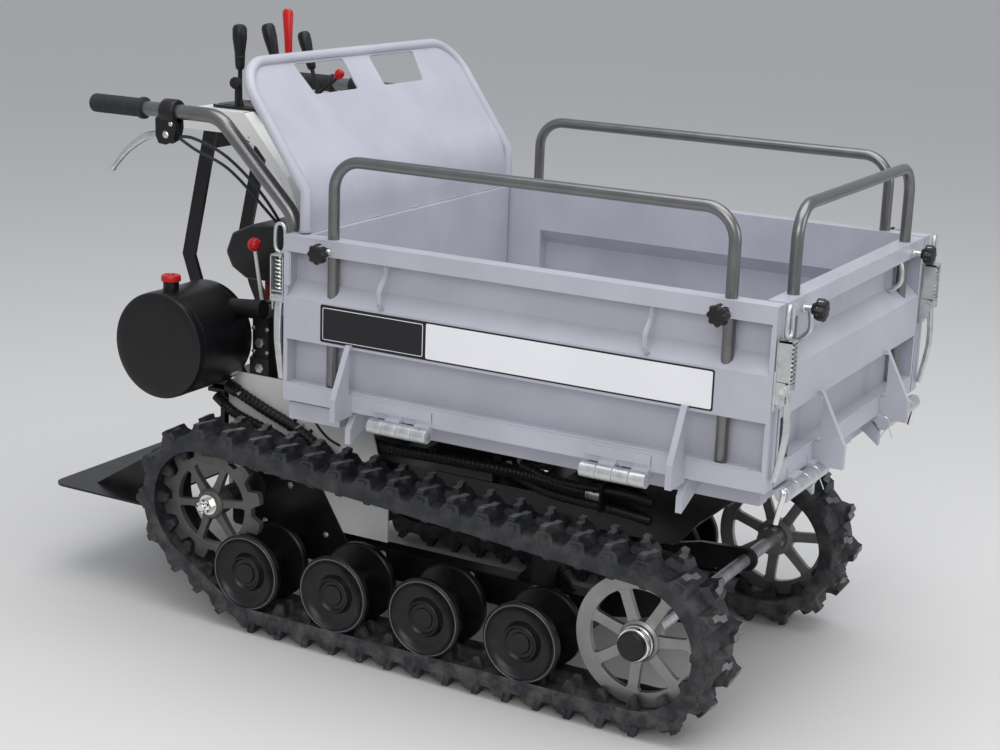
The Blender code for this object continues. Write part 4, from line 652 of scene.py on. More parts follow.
def idlers():
    """Front idlers: rim, spokes, hub, bright ring and black cap."""
    centre = (IDLER[0], -WHEEL_PLANE, IDLER[1])
    rim = IDLER_RADIUS - 0.0015
    band = [(-0.006, 0.0925), (-0.006, rim), (0.006, rim), (0.006, 0.0925)]
    piece = Piece("raw_steel")
    piece.turned(band, centre, OUT_RIGHT, 96, closed=True)
    arms = [
        (0.026, 0.0115, 0.0052), (0.052, 0.0098, 0.0052), (0.086, 0.0098, 0.0052),
        (0.0945, 0.015, 0.0052),
    ]
    spokes(piece, centre, 7, arms)
    hub = [(-0.045, 0.0), (-0.045, 0.026), (-0.012, 0.026), (-0.01, 0.037)]
    hub += [(0.006, 0.037), (0.01, 0.031), (0.012, 0.031), (0.012, 0.0)]
    ring = [(0.01, 0.0), (0.01, 0.031), (0.016, 0.031), (0.018, 0.0285), (0.022, 0.0285)]
    ring += [(0.024, 0.0302), (0.029, 0.0302), (0.031, 0.028), (0.031, 0.0)]
    cap = [(0.028, 0.0), (0.028, 0.0262), (0.037, 0.0258), (0.04, 0.0225), (0.0405, 0.0)]
    for look, profile in (("raw_steel", hub), ("bright_steel", ring), ("black_paint", cap)):
        piece.use(look)
        piece.turned(profile, centre, OUT_RIGHT, 48)
    piece.make("idler_wheel_right", "chassis", "front_idler_right", bevel=0.0008, twin=True)


def toothed_rim(piece, centre):
    """The sprocket's ring of teeth."""
    x, y, z = centre
    root, tip, inner = SPROCKET_RADIUS - 0.024, SPROCKET_RADIUS - 0.0015, SPROCKET_RADIUS - 0.04
    # One tooth: (degrees from its middle, radius)
    shape = ((-15.0, root), (-10.5, root), (-6.6, tip - 0.006), (-6.0, tip - 0.001))
    shape += ((0.0, tip), (6.0, tip - 0.001), (6.6, tip - 0.006), (10.5, root))
    outline = []
    for i in range(TEETH):
        middle = 360.0 * (i + 0.5) / TEETH
        outline += [(math.radians(middle + angle), radius) for angle, radius in shape]
    rows = []
    for level in (-0.007, 0.007):
        for ring in (outline, [(angle, inner) for angle, radius in outline]):
            points = [(x + r * math.cos(a), y + level, z + r * math.sin(a)) for a, r in ring]
            rows.append([piece.bm.verts.new(point) for point in points])
    count = len(outline)
    for k in range(count):
        j = (k + 1) % count
        for a, b in ((0, 1), (2, 3), (0, 2), (1, 3)):
            piece.bm.faces.new((rows[a][k], rows[a][j], rows[b][j], rows[b][k]))


def sprockets():
    """Driving sprockets: toothed rim, spokes, hub, bright nut and its ring of bolts."""
    x, y, z = centre = (SPROCKET[0], -WHEEL_PLANE, SPROCKET[1])
    piece = Piece("cast")
    toothed_rim(piece, centre)
    arms = [(0.02, 0.0095, 0.0085), (0.05, 0.007, 0.0065), (0.072, 0.0072, 0.0062), (0.084, 0.012, 0.0062)]
    spokes(piece, centre, 6, arms)
    hub = [(-0.03, 0.0), (-0.03, 0.026), (0.01, 0.03), (0.015, 0.026), (0.015, 0.0)]
    piece.turned(hub, centre, OUT_RIGHT, 40)
    piece.use("bright_steel")
    washer = [(0.013, 0.0), (0.013, 0.0205), (0.0175, 0.0205), (0.018, 0.0)]
    nut = [(0.017, 0.0), (0.017, 0.0145), (0.029, 0.0145), (0.03, 0.0)]
    shaft = [(0.028, 0.0), (0.028, 0.0085), (0.038, 0.0085), (0.04, 0.006), (0.04, 0.0)]
    piece.turned(washer, centre, OUT_RIGHT, 40)
    piece.turned(nut, centre, OUT_RIGHT, 6)
    for i in range(6):
        turn = math.radians(60.0 * i + 30.0)
        middle = Vector((x + 0.0105 * math.cos(turn), y - 0.033, z + 0.0105 * math.sin(turn)))
        piece.bar(middle + Vector((0, 0.006, 0)), middle + Vector((0, -0.003, 0)), 0.0034, 6)
    piece.turned(shaft, centre, OUT_RIGHT, 24)
    piece.make("sprocket_wheel_right", "chassis", "drive_sprocket_right", bevel=0.0012, twin=True)


def running_gear():
    """Beam, arms, fork and four axles with dished rollers inside each track."""
    beam_y, wide = 0.165, 0.04
    low, tall = 0.1036, 0.058
    outer, inner, disc = 0.356, 0.25, ROLLER_RADIUS - 0.0015
    inward = (0, 1, 0)
    piece = Piece("black_paint")
    piece.block(
        (ROLLERS[0] - 0.05, -beam_y - wide / 2, low),
        (ROLLERS[-1] + 0.06, -beam_y + wide / 2, low + tall),
    )
    for x in (ROLLERS[0] + 0.05, ROLLERS[3] - 0.05):
        piece.block((x - 0.025, -beam_y - 0.015, low + 0.015), (x + 0.025, -0.1375, 0.2793))
        web = [(x - 0.06, low + tall), (x + 0.06, low + tall), (x + 0.025, 0.2), (x - 0.025, 0.2)]
        piece.extrude(web, "y", -beam_y - 0.004, -beam_y + 0.004)
    fork = [(ROLLERS[3] + 0.03, low + 0.01), (IDLER[0] - 0.02, IDLER[1] - 0.021)]
    fork += arc(IDLER, 0.0235, -70.0, 95.0, 8)
    fork += [(ROLLERS[3] + 0.12, low + tall + 0.022), (ROLLERS[3] + 0.03, low + tall)]
    piece.extrude(fork, "y", -beam_y + 0.006, -beam_y + 0.018)
    # Outer disc: flat tread, dished face, raised ring and small hub
    dish = [(0.016, 0.0), (0.016, disc - 0.003), (0.013, disc), (0.003, disc), (0.0, disc - 0.003)]
    dish += [(0.0, disc - 0.008), (0.003, disc - 0.0095), (0.0105, disc - 0.02), (0.0128, 0.042)]
    dish += [(0.012, 0.0375), (0.006, 0.0345), (0.0005, 0.0325), (-0.0008, 0.03), (0.002, 0.0282)]
    dish += [(0.0045, 0.0262), (0.0045, 0.02), (0.001, 0.0185), (0.0, 0.0)]
    back = [
        (0.0, 0.0), (0.0, disc - 0.003), (0.003, disc), (0.013, disc), (0.016, disc - 0.003),
        (0.016, 0.0),
    ]
    for x in ROLLERS:
        piece.bar((x, -beam_y, ROLLER_Z), (x, -outer + 0.008, ROLLER_Z), 0.018, 28)
        piece.turned(dish, (x, -outer, ROLLER_Z), inward, 56)
        piece.turned(back, (x, -inner - 0.016, ROLLER_Z), inward, 56)
        piece.turned([(0.0, 0.03), (0.075, 0.03)], (x, -outer + 0.014, ROLLER_Z), inward, 32)
    # Thin paler steel ring just inside the edge of each outer disc: a painted highlight on the black disc
    piece.use("raw_steel")
    rim = [
        (-0.0003, disc - 0.0058), (-0.0003, disc - 0.0046), (0.001, disc - 0.0046),
        (0.001, disc - 0.0058),
    ]
    for x in ROLLERS:
        piece.turned(rim, (x, -outer, ROLLER_Z), inward, 56, closed=True)
    piece.use("zinc")
    for x in ROLLERS:
        piece.bolt((x, -beam_y - 0.0195, ROLLER_Z + 0.028), OUT_RIGHT, 0.007, 0.005)
    piece.make("running_gear_right", "chassis", "roller_beam_right", bevel=0.0008, twin=True)


def rails():
    """The three load rails as smooth tubes."""
    foot, top = LEDGE + 0.0003, RAIL_TOP
    for word, first, second in (
        ("right", (RAIL_X[0], -RAIL_Y), (RAIL_X[1], -RAIL_Y)),
        ("left", (RAIL_X[0], RAIL_Y), (RAIL_X[1], RAIL_Y)),
        ("front", (GATE_RAIL_X, -GATE_RAIL_HALF), (GATE_RAIL_X, GATE_RAIL_HALF)),
    ):
        piece = Piece("tube_steel")
        route = [(*first, foot), (*first, top), (*second, top), (*second, foot)]
        piece.pipe(rounded(route, 0.052, 10), 0.01, 24)
        piece.make("hoop_" + word, "rail_" + word, "rail_" + word)


def knobs():
    """Star knobs with silver stems over the clamping screws."""
    head = [(0.0, 0.0), (0.0, 0.0135), (0.002, 0.0165), (0.013, 0.0172)]
    head += [(0.0165, 0.015), (0.0185, 0.0095), (0.019, 0.0)]
    collar = [(0.0, 0.0), (0.0, 0.009), (0.006, 0.011), (0.008, 0.011)]
    gate = [((FRONT, side * GATE_RAIL_HALF, KNOB_Z), (1, 0, 0)) for side in (-1, 1)]
    for body, rows in (
        ("side_right", [((x, -HALF, KNOB_Z), OUT_RIGHT) for x in RAIL_X]),
        ("side_left", [((x, HALF, KNOB_Z), (0, 1, 0)) for x in RAIL_X]),
        ("gate", gate),
    ):
        mine = [(Vector(place), Vector(axis)) for place, axis in rows]
        piece = Piece("black_plastic")
        for place, axis in mine:
            piece.turned(head, place + axis * 0.0232, axis, 48, lobes=8, swell=0.0016)
            piece.turned(collar, place + axis * 0.0175, axis, 24)
        piece.use("bright_steel")
        for place, axis in mine:
            piece.turned([(0.0, 0.0085), (0.005, 0.0085)], place - axis * 0.0005, axis, 6)
            piece.turned([(0.0, 0.0052), (0.024, 0.0052)], place, axis, 20)
        piece.make("knobs_" + body, body, None, bevel=0.0004)


def sleeve(long, bore):
    """Profile of a barrel sleeve with eased ends."""
    eased = KNUCKLE - 0.001
    return [
        (0.0, bore), (0.0, eased), (0.001, KNUCKLE), (long - 0.001, KNUCKLE), (long, eased),
        (long, bore),
    ]


def side_hinges():
    """Galvanised barrel sleeves under the sides, their leaf plates and the heads of the pins."""
    head = [(0.0, 0.0), (0.0, 0.0062), (0.0015, 0.0062), (0.0015, 0.0)]
    for side, word in ((-1, "right"), (1, "left")):
        axis_y = side * (HALF + HINGE_OUT)
        for body, odd in (("bed", 0), ("side_" + word, 1)):
            piece = Piece("zinc")
            profile = sleeve(SIDE_PITCH - 2 * HINGE_GAP, 0.0)
            for start in SIDE_HINGES:
                for i in range(odd, 4, 2):
                    low = start + i * SIDE_PITCH + HINGE_GAP
                    piece.turned(profile, (low, axis_y, HINGE_Z), (1, 0, 0), 32)
                if odd:
                    piece.use("box_paint")
                    low = (start, side * (HALF - 0.001), LOW + 0.0095)
                    piece.block(low, (start + 4 * SIDE_PITCH, side * (HALF + 0.0019), LOW + 0.0265))
                    piece.use("zinc")
            for start in SIDE_HINGES if not odd else ():
                for x in (start - 0.002, start + 4 * SIDE_PITCH + 0.0005):
                    piece.turned(head, (x, axis_y, HINGE_Z), (1, 0, 0), 16)
            piece.make("barrels_" + body + "_" + word, body, None, bevel=0.0003)


def pin_keepers(piece, x):
    """The gate's curved strips that keep the pins, and the split pins' legs."""
    for side in (-1, 1):
        end = side * (GATE_HINGE + 4 * GATE_PITCH)
        rows = (
            (0.001, 0.002, 0.01), (0.004, 0.004, 0.001), (-0.001, 0.004, -0.022),
            (-0.006, 0.004, -0.048),
        )
        strip = [(x + ahead, end + side * out, HINGE_Z + rise) for ahead, out, rise in rows]
        piece.pipe(smooth_route(strip), 0.0046, 14)
        start = side * (GATE_HINGE + 0.5 * GATE_PITCH)
        for lean in (-0.008, 0.01):
            tip = (x + lean, start + lean, HINGE_Z - 0.034)
            piece.bar((x + 0.004, start, HINGE_Z - 0.011), tip, 0.0011, 8)


def gate_hinges():
    """Galvanised barrel sleeves under the gate."""
    x = FRONT + HINGE_OUT
    for body, odd in (("gate", 0), ("bed", 1)):
        piece = Piece("zinc")
        for side in (-1, 1):
            for i in range(odd, 4, 2):
                low = side * (GATE_HINGE + i * GATE_PITCH + HINGE_GAP)
                profile = sleeve(GATE_PITCH - 2 * HINGE_GAP, 0.0075)
                piece.turned(profile, (x, low, HINGE_Z), (0, side, 0), 32, closed=True)
        piece.use("bright_steel")
        if body == "bed":
            pin_keepers(piece, x)
        piece.make("gate_barrels_" + body, body, None, bevel=0.0003)


def handlebars():
    """Smooth tubes with ribbed rubber grips."""
    points = [(-0.3059, -0.162, 0.414), (-0.3059, -0.162, 0.4816), (-0.2509, -0.3, 0.6316)]
    points += [(-0.2089, -0.3, 0.7966), (-0.3789, -BAR_HALF, BAR_Z), (GRIP_X[1], -BAR_HALF, BAR_Z)]
    piece = Piece("tube_steel")
    piece.pipe(rounded(points, 0.06, 8), 0.0138, 24)
    piece.make("bar_right", "chassis", "handlebar_right", twin=True)
    long = GRIP_X[1] - GRIP_X[0]
    ribs = 16
    step = (long - 0.016) / ribs
    grip = [(0.0, 0.0), (0.0, 0.015), (0.003, 0.0172)]
    for i in range(ribs):
        start = 0.004 + i * step
        grip += [(start, 0.0166), (start + step * 0.3, 0.0176)]
        grip += [(start + step * 0.75, 0.0176), (start + step * 0.9, 0.0162)]
    grip += [
        (long - 0.011, 0.0168), (long - 0.009, 0.0205), (long - 0.002, 0.0203), (long, 0.0172),
        (long, 0.0),
    ]
    piece = Piece("rubber")
    piece.turned(grip, (GRIP_X[0], -BAR_HALF, BAR_Z), (1, 0, 0), 32)
    piece.make("grip_rubber_right", "chassis", "grip_right", twin=True)


def brake_levers():
    """Clamped cast bodies whose cheeks hold a curved lever with a ball at its end."""
    x, y, z = CLAMP_X, -BAR_HALF, BAR_Z
    piece = Piece("black_plastic")
    ring = [
        (-0.016, 0.0142), (-0.016, 0.0205), (-0.013, 0.0225), (0.013, 0.0225), (0.016, 0.0205),
        (0.016, 0.0142),
    ]
    piece.turned(ring, (x, y, z), (1, 0, 0), 32, closed=True)
    cheek = [(-0.03, -0.012), (0.017, -0.012), (0.0178, -0.03), (0.012, -0.052)]
    cheek += [(-0.006, -0.0618), (-0.023, -0.06), (-0.0298, -0.046)]
    cheek = rounded_loop([(x + along, z + rise) for along, rise in cheek], 0.004, 3)
    for low, high in ((-0.0118, -0.006), (0.006, 0.0118)):
        piece.extrude(cheek, "y", y + low, y + high)
    piece.block((x - 0.012, y - 0.007, z - 0.05), (x + 0.016, y + 0.007, z - 0.014))
    piece.bar((x + 0.012, y, z - 0.04), (x + 0.0178, y, z - 0.043), 0.005, 18)
    piece.use("zinc")
    marks = [(-0.004, 0.0, -0.043), (-0.03, 0.0, -0.046), (-0.062, 0.0, -0.053)]
    marks += [(-0.1, -0.003, -0.078), (-0.124, -0.005, -0.102), (-0.138, -0.006, -0.119)]
    lever = smooth_route([(x + along, y + aside, z + rise) for along, aside, rise in marks], 8)
    rings = []
    for i, point in enumerate(lever):
        tall = heading(lever, i).cross(Vector((0.0, 1.0, 0.0))).normalized()
        share = i / (len(lever) - 1)
        deep, wide = 0.0088 - 0.0038 * share, 0.0052 - 0.0006 * share
        ring = []
        for a in full_turn(16):
            ring.append(point + tall * deep * math.cos(a) + Vector((0.0, wide * math.sin(a), 0.0)))
        rings.append(ring)
    piece.loft(rings)
    ball = [(-0.0062, 0.0), (-0.0045, 0.0045), (0.0, 0.0064), (0.0045, 0.0045), (0.0062, 0.0)]
    piece.turned(ball, lever[-1], (-0.6, 0.0, -0.8), 20)
    piece.use("bright_steel")
    piece.bolt((x - 0.006, y - 0.0118, z - 0.043), OUT_RIGHT, 0.0056, 0.0016)
    piece.bolt((x + 0.006, y - 0.0118, z - 0.022), OUT_RIGHT, 0.004, 0.0012)
    piece.make("brake_lever_set_right", "chassis", "brake_lever_right", bevel=0.0006, twin=True)


def guard():
    """Bent tube frame with its sheet, folded at the knee and with two hand slots."""
    half, tube, thick = 0.362, 0.01, 0.0034
    start, knee, top, lean, corner = 0.7928, 0.8661, 1.0746, 0.15, 0.075
    x = REAR + 0.025
    foot, bend, head = Vector((x, 0.0, start)), Vector((x, 0.0, knee)), Vector((x - lean, 0.0, top))
    up = (head - bend).normalized()
    length = (head - bend).length
    across = Vector((0.0, 1.0, 0.0))
    piece = Piece("box_paint")
    left = [Vector((p.x, -half, p.z)) for p in (foot, bend, head)]
    right = [Vector((p.x, half, p.z)) for p in (head, bend, foot)]
    crown = rounded([left[1], left[2], right[0], right[1]], corner, 10)[1:-1]
    piece.pipe(left[:2] + crown + right[1:], tube, 20)
    collar = [(0.0, tube), (0.002, tube + 0.0007), (0.006, tube + 0.0004)]
    for side in (-1, 1):
        piece.turned(collar, (x, side * half, start), (0, 0, 1), 20)
    place = Matrix((across, up, across.cross(up))).transposed().to_4x4()
    place.translation = bend
    r = corner - 0.002
    trim = 0.045
    outline = [(half, trim)] + arc((half - r, length - r), r, 0, 90, 8)
    outline += arc((r - half, length - r), r, 90, 180, 8) + [(-half, trim)]
    slot_top, slot_low = length - 0.0125, length - 0.0785
    slot = ((0.045, slot_top), (0.205, slot_top), (0.187, slot_low), (0.045, slot_low))
    holes = [rounded_loop([(side * y, z) for y, z in slot], 0.006) for side in (-1, 1)]
    piece.sheet(outline, holes, place, thick)
    upright = Matrix((across, Vector((0, 0, 1)), Vector((1, 0, 0)))).transposed().to_4x4()
    upright.translation = Vector((x, 0.0, 0.0))
    inside = 0.3519
    apron = [(-inside, RIM_TOP - 0.0004), (inside, RIM_TOP - 0.0004), (inside, start), (half, start)]
    apron += [(half, knee - trim), (-half, knee - trim), (-half, start), (-inside, start)]
    piece.sheet(apron, [], upright, thick)
    # Sheet rolled round the knee
    turn = math.atan2(lean, top - knee)
    radius = trim / math.tan(turn / 2)
    angles = [turn * i / 10 for i in range(11)]
    bow = []
    for reach, run in ((radius + thick / 2, angles), (radius - thick / 2, angles[::-1])):
        bow += [(x - radius + reach * math.cos(a), knee - trim + reach * math.sin(a)) for a in run]
    piece.extrude(bow, "y", -half, half)
    for i in range(5):
        y = -0.28 + 0.14 * i
        low, high = ((x + 0.002, y + reach, RIM_TOP + 0.001) for reach in (-0.012, 0.012))
        weld(piece, low, high, 0.0013)
    piece.make("guard_sheet", "bed", "headboard")


def sign():
    """Blank sign on the side's rib: black at the rear with a fine line, white ahead with a black edge."""
    x0, x1, split, z0, z1 = -0.0954, 0.6512, 0.1218, 0.6083, 0.6758
    # Layers: finish, low corner, high corner, corner radius, height
    layers = (
        ("sign_black", (x0, z0), (x1, z1), 0.004, 0.0005),
        ("sign_white", (split, z0 + 0.003), (x1 - 0.003, z1 - 0.003), 0.003, 0.0009),
        ("sign_white", (x0 + 0.005, z0 + 0.005), (split - 0.006, z1 - 0.005), 0.003, 0.0008),
        ("sign_black", (x0 + 0.0063, z0 + 0.0063), (split - 0.0073, z1 - 0.0063), 0.002, 0.0011),
    )
    piece = Piece("sign_black")
    for look, low, high, radius, front in layers:
        piece.use(look)
        piece.extrude(round_rect(low, high, radius), "y", -HALF - front, -HALF - front + 0.00045)
    piece.make("sign_blank", "side_right")


def weld(piece, start, end, radius=0.0016):
    """A beaded seam between two points."""
    start, end = Vector(start), Vector(end)
    length = (end - start).length
    count = max(int(length / (radius * 1.5)), 3)
    profile = [(0.0, 0.0)]
    for i in range(count):
        at = length * (i + 0.5) / count
        rise = length * 0.3 / count
        profile += [(at - rise, radius * 0.8), (at, radius), (at + rise, radius * 0.86)]
    profile.append((length, 0.0))
    piece.turned(profile, start, end - start, 8)


def seams(name, body, ends, face):
    """Seams at both ends of a panel and its fold; face gives (x, y) from a place along it and a depth."""
    piece = Piece("box_paint")
    for end in ends:
        for high, low in ((RIB_LOW - 0.004, LEDGE + 0.004), (RIM_LOW - 0.004, RIB_TOP + 0.004)):
            weld(piece, (*face(end, 0.0007), high), (*face(end, 0.0007), low), SEAM)
    inset = 0.0225
    fold = [(*face(end, 0.0002), LEDGE + 0.0012) for end in (ends[0] + inset, ends[1] - inset)]
    piece.pipe(fold, SEAM, 8)
    piece.make(name, body)


def box_details():
    """Weld seams and folds on the sides and the gate."""
    ends = (REAR + 0.0075, FRONT - 0.0075)
    for side, word in ((-1, "right"), (1, "left")):
        seams("side_seams_" + word, "side_" + word, ends, lambda x, deep: (x, side * (HALF - deep)))
    ends = (-GATE_HALF + 0.0075, GATE_HALF - 0.0075)
    seams("gate_seams", "gate", ends, lambda y, deep: (FRONT - deep, y))


def latches():
    """Spring bolts at the corners; the front ones face ahead, the rear ones sideways."""
    front = Vector((FRONT + 0.0003, -RAIL_Y, LATCH_Z))
    rear = Vector((REAR - 0.0163, -HALF + 0.026, LATCH_REAR_Z))
    ahead, inward = Vector((1.0, 0.0, 0.0)), Vector((0.0, 1.0, 0.0))
    latch_set("latch_front_right", front, ahead, inward)
    latch_set("latch_rear_right", rear, -inward, ahead)


def latch_set(name, seat, out, run):
    """One latch on a vertical face: seat at the handle's pivot, out its normal, run along the face."""
    up = Vector((0.0, 0.0, 1.0))
    axle = 0.014

    def at(u, v, w):
        return seat + run * u + up * v + out * w

    slabs = [((-0.0158, -0.034, 0.0003), (0.0158, 0.03, 0.004))]
    slabs.append(((-0.014, 0.03, 0.0015), (0.014, 0.079, 0.004)))
    for side in (-1, 1):
        slabs.append(((side * 0.0118, -0.003, 0.0035), (side * 0.014, 0.0798, 0.0255)))
        slabs.append(((side * 0.0118, -0.022, 0.0035), (side * 0.015, 0.014, 0.019)))
    slabs.append(((-0.014, 0.0765, 0.004), (0.014, 0.0798, 0.0255)))
    slabs.append(((-0.014, 0.012, 0.004), (0.014, 0.015, 0.024)))
    piece = Piece("zinc")
    for low, high in slabs:
        piece.block(at(*low), at(*high))
    # Roller bolt through the frame's foot, and its rivet below
    piece.bar(at(-0.0158, 0.0, axle), at(0.0158, 0.0, axle), 0.0096, 28)
    rivet = [(0.0, 0.0), (0.0, 0.0062), (0.002, 0.0056), (0.0026, 0.0)]
    piece.turned(rivet, at(0.0, -0.026, 0.004), out, 24)
    piece.use("bright_steel")
    piece.bar(at(-0.016, 0.0, axle), at(-0.0152, 0.0, axle), 0.0046, 20)
    piece.bar(at(0.0152, 0.0, axle), at(0.016, 0.0, axle), 0.0046, 20)
    piece.bar(at(0.0, 0.01, axle), at(0.0, 0.0835, axle), 0.0034, 16)
    # Coil spring round the bolt
    coil = []
    turns, steps, reach = 8, 14, 0.0086
    for i in range(turns * steps + 1):
        angle = 2 * math.pi * i / steps
        rise = 0.0175 + 0.057 * i / (turns * steps)
        coil.append(at(reach * math.cos(angle), rise, 0.0148 + reach * math.sin(angle)))
    piece.pipe(coil, 0.0016, 8)
    # Pull ring
    piece.use("zinc")
    loop = [
        (0.0, 0.081), (-0.0075, 0.0855), (-0.0106, 0.096), (-0.0106, 0.116), (-0.008, 0.1295),
        (0.0, 0.1335),
    ]
    loop += [(-u, v) for u, v in reversed(loop[1:5])]
    ring = smooth_route([at(u, v, axle) for u, v in loop + loop[:1]], 6)[:-1]
    piece.pipe(ring, 0.0034, 12, closed=True)
    # Curved flat handle
    marks = [(0.004, 0.015), (-0.03, 0.0195), (-0.07, 0.0205), (-0.11, 0.015), (-0.149, 0.007)]
    handle = smooth_route([at(0.0, v, w) for v, w in marks], 8)
    rings = []
    outline = ((-1, -0.6), (-0.7, -1), (0.7, -1), (1, -0.6), (1, 0.6), (0.7, 1), (-0.7, 1), (-1, 0.6))
    for i, point in enumerate(handle):
        wide = 0.0078 - 0.0014 * i / (len(handle) - 1)
        thick = heading(handle, i).cross(run).normalized() * 0.0042
        rings.append([point + run * a * wide + thick * b for a, b in outline])
    piece.loft(rings)
    piece.make("set_" + name, "side_right", name, bevel=0.0005, twin=True)


def console():
    """White sheet console with folded edges, a red strip and its screws."""
    low = CONSOLE_TOP - 0.0426
    rows = [(-0.6059, 0.0), (-0.6059, 0.02), (-0.5659, 0.042), (-0.4359, 0.042), (-0.3359, -0.07)]
    rows += [(-0.2959, -0.16), (-0.3059, -0.165), (-0.3509, -0.08), (-0.4059, -0.02), (-0.4459, 0.0)]
    outline = rounded_loop([(x, low + rise) for x, rise in rows], 0.004, 4)
    piece = Piece("white_paint")
    piece.extrude(outline, "y", -0.16, 0.16)
    piece.use("red_paint")
    piece.block((-0.44, -0.159, low + 0.04), (-0.4376, 0.159, low + 0.0425))
    piece.use("zinc")
    for side in (-1, 1):
        for x, rise in ((-0.425, 0.0), (-0.35, -0.07)):
            piece.bolt((x, side * 0.1596, low + rise - 0.004), (0, side, 0), 0.003, 0.0004)
    piece.make("console_sheet", "chassis", "console", bevel=0.0012)


def hand_lever(piece, x, y, lean, length, wide):
    """A moulded lever: boot, rod and grip with three rings."""
    foot = Vector((x, y, CONSOLE_TOP + 0.0045))
    tip = foot + Vector((*lean, length))
    ahead = tip - foot
    piece.turned([(0.0, 0.007), (0.004, 0.0068), (0.01, 0.005), (0.014, 0.0046)], foot, ahead, 20)
    piece.bar(foot, foot.lerp(tip, 0.5), 0.0042, 16)
    knee = foot.lerp(tip, 0.45)
    long = (tip - knee).length
    grip = [(0.0, 0.0058), (0.003, 0.0084), (0.01, 0.0094), (long * 0.35, 0.01), (long * 0.7, wide)]
    grip += [(long - 0.008, wide), (long - 0.002, wide - 0.003), (long, wide - 0.007), (long + 0.0003, 0.0)]
    piece.turned(grip, knee, ahead, 28)
    for k in range(3):
        place = knee.lerp(tip, 0.3 + 0.1 * k)
        piece.turned([(-0.001, 0.01), (0.0, 0.0106), (0.001, 0.01)], place, ahead, 24)


def levers():
    """Moulded hand levers on their slotted plate, with a round throttle knob beside the first."""
    plate_low = CONSOLE_TOP + 0.0003
    slots = []
    for y in (-0.121, -0.051):
        slot = [(-0.517, y), (-0.442, y), (-0.442, y + 0.01), (-0.517, y + 0.01)]
        slots.append(rounded_loop(slot, 0.0045))
    plate = [(-0.5359, -0.13), (-0.4109, -0.13), (-0.4109, 0.095)]
    plate += [(-0.4459, 0.095), (-0.4459, -0.02), (-0.5359, -0.02)]
    piece = Piece("black_plastic")
    piece.sheet(
        rounded_loop(plate, 0.005), slots, Matrix.Translation((0.0, 0.0, plate_low + 0.0028)), 0.005,
    )
    hand_lever(piece, -0.4829, -0.11, (0.006, -0.01), 0.1565, 0.014)
    hand_lever(piece, -0.4259, -0.04, (-0.038, -0.01), 0.156, 0.0134)
    hand_lever(piece, -0.4289, 0.08, (-0.04, -0.004), 0.1345, 0.013)
    knob = [(0.0, 0.0), (0.0, 0.009), (0.002, 0.0112), (0.01, 0.0116), (0.013, 0.01), (0.014, 0.0)]
    place = (-0.48, -0.124, CONSOLE_TOP + 0.05)
    piece.turned(knob, place, (0.25, -0.95, 0.1), 32, lobes=10, swell=0.0004)
    piece.bar((-0.48, -0.126, plate_low + 0.003), (-0.48, -0.126, CONSOLE_TOP + 0.05), 0.0036, 14)
    piece.use("zinc")
    for x in (-0.529, -0.418):
        for y in (-0.124, -0.027):
            piece.bolt((x, y, plate_low + 0.0052), (0, 0, 1), 0.003, 0.0005)
    piece.make("hand_levers", "chassis", "control_levers", bevel=0.0004)


def choke():
    """Small red knob on a rod behind the levers."""
    low, high = Vector((-0.448, 0.09, CONSOLE_TOP + 0.01)), Vector((-0.402, 0.098, CONSOLE_TOP + 0.048))
    half = Vector((0.0, 0.0, 0.01))
    piece = Piece("black_plastic")
    piece.bar(low - half, low + half, 0.0055, 16)
    piece.bar(low, high, 0.003, 12)
    piece.use("red_plastic")
    knob = [(0.0, 0.0), (0.001, 0.005), (0.006, 0.0088), (0.014, 0.01), (0.02, 0.0078), (0.0225, 0.0)]
    piece.turned(knob, high, (0.5, 0.1, 0.8), 28)
    piece.make("choke_knob", "chassis")


def red_lever():
    """The red tipping lever and its foot plate."""
    x, y, low = -0.4679, 0.03, CONSOLE_TOP + 0.0003
    piece = Piece("red_plastic")
    piece.block((x - 0.016, y - 0.01, low), (x + 0.016, y + 0.01, low + 0.0056))
    foot = Vector((x, y, CONSOLE_TOP + 0.0045))
    tip = foot + Vector((-0.012, 0.01, 0.1795))
    flat, deep = Vector((1.0, 0.15, 0.0)).normalized(), Vector((-0.15, 1.0, 0.0)).normalized()
    # Share of the length, half width, half thickness
    rows = [(0.0, 0.005, 0.005), (0.4, 0.0052, 0.005), (0.46, 0.007, 0.006), (0.72, 0.0088, 0.0066)]
    rows += [(0.94, 0.0116, 0.0074), (0.985, 0.01, 0.0062), (1.0, 0.006, 0.004)]
    rings = []
    for share, wide, thick in rows:
        centre = foot.lerp(tip, share)
        rings.append([centre + flat * math.cos(a) * wide + deep * math.sin(a) * thick for a in full_turn(20)])
    piece.loft(rings)
    piece.make("red_lever", "chassis", "tipping_lever", bevel=0.0006)


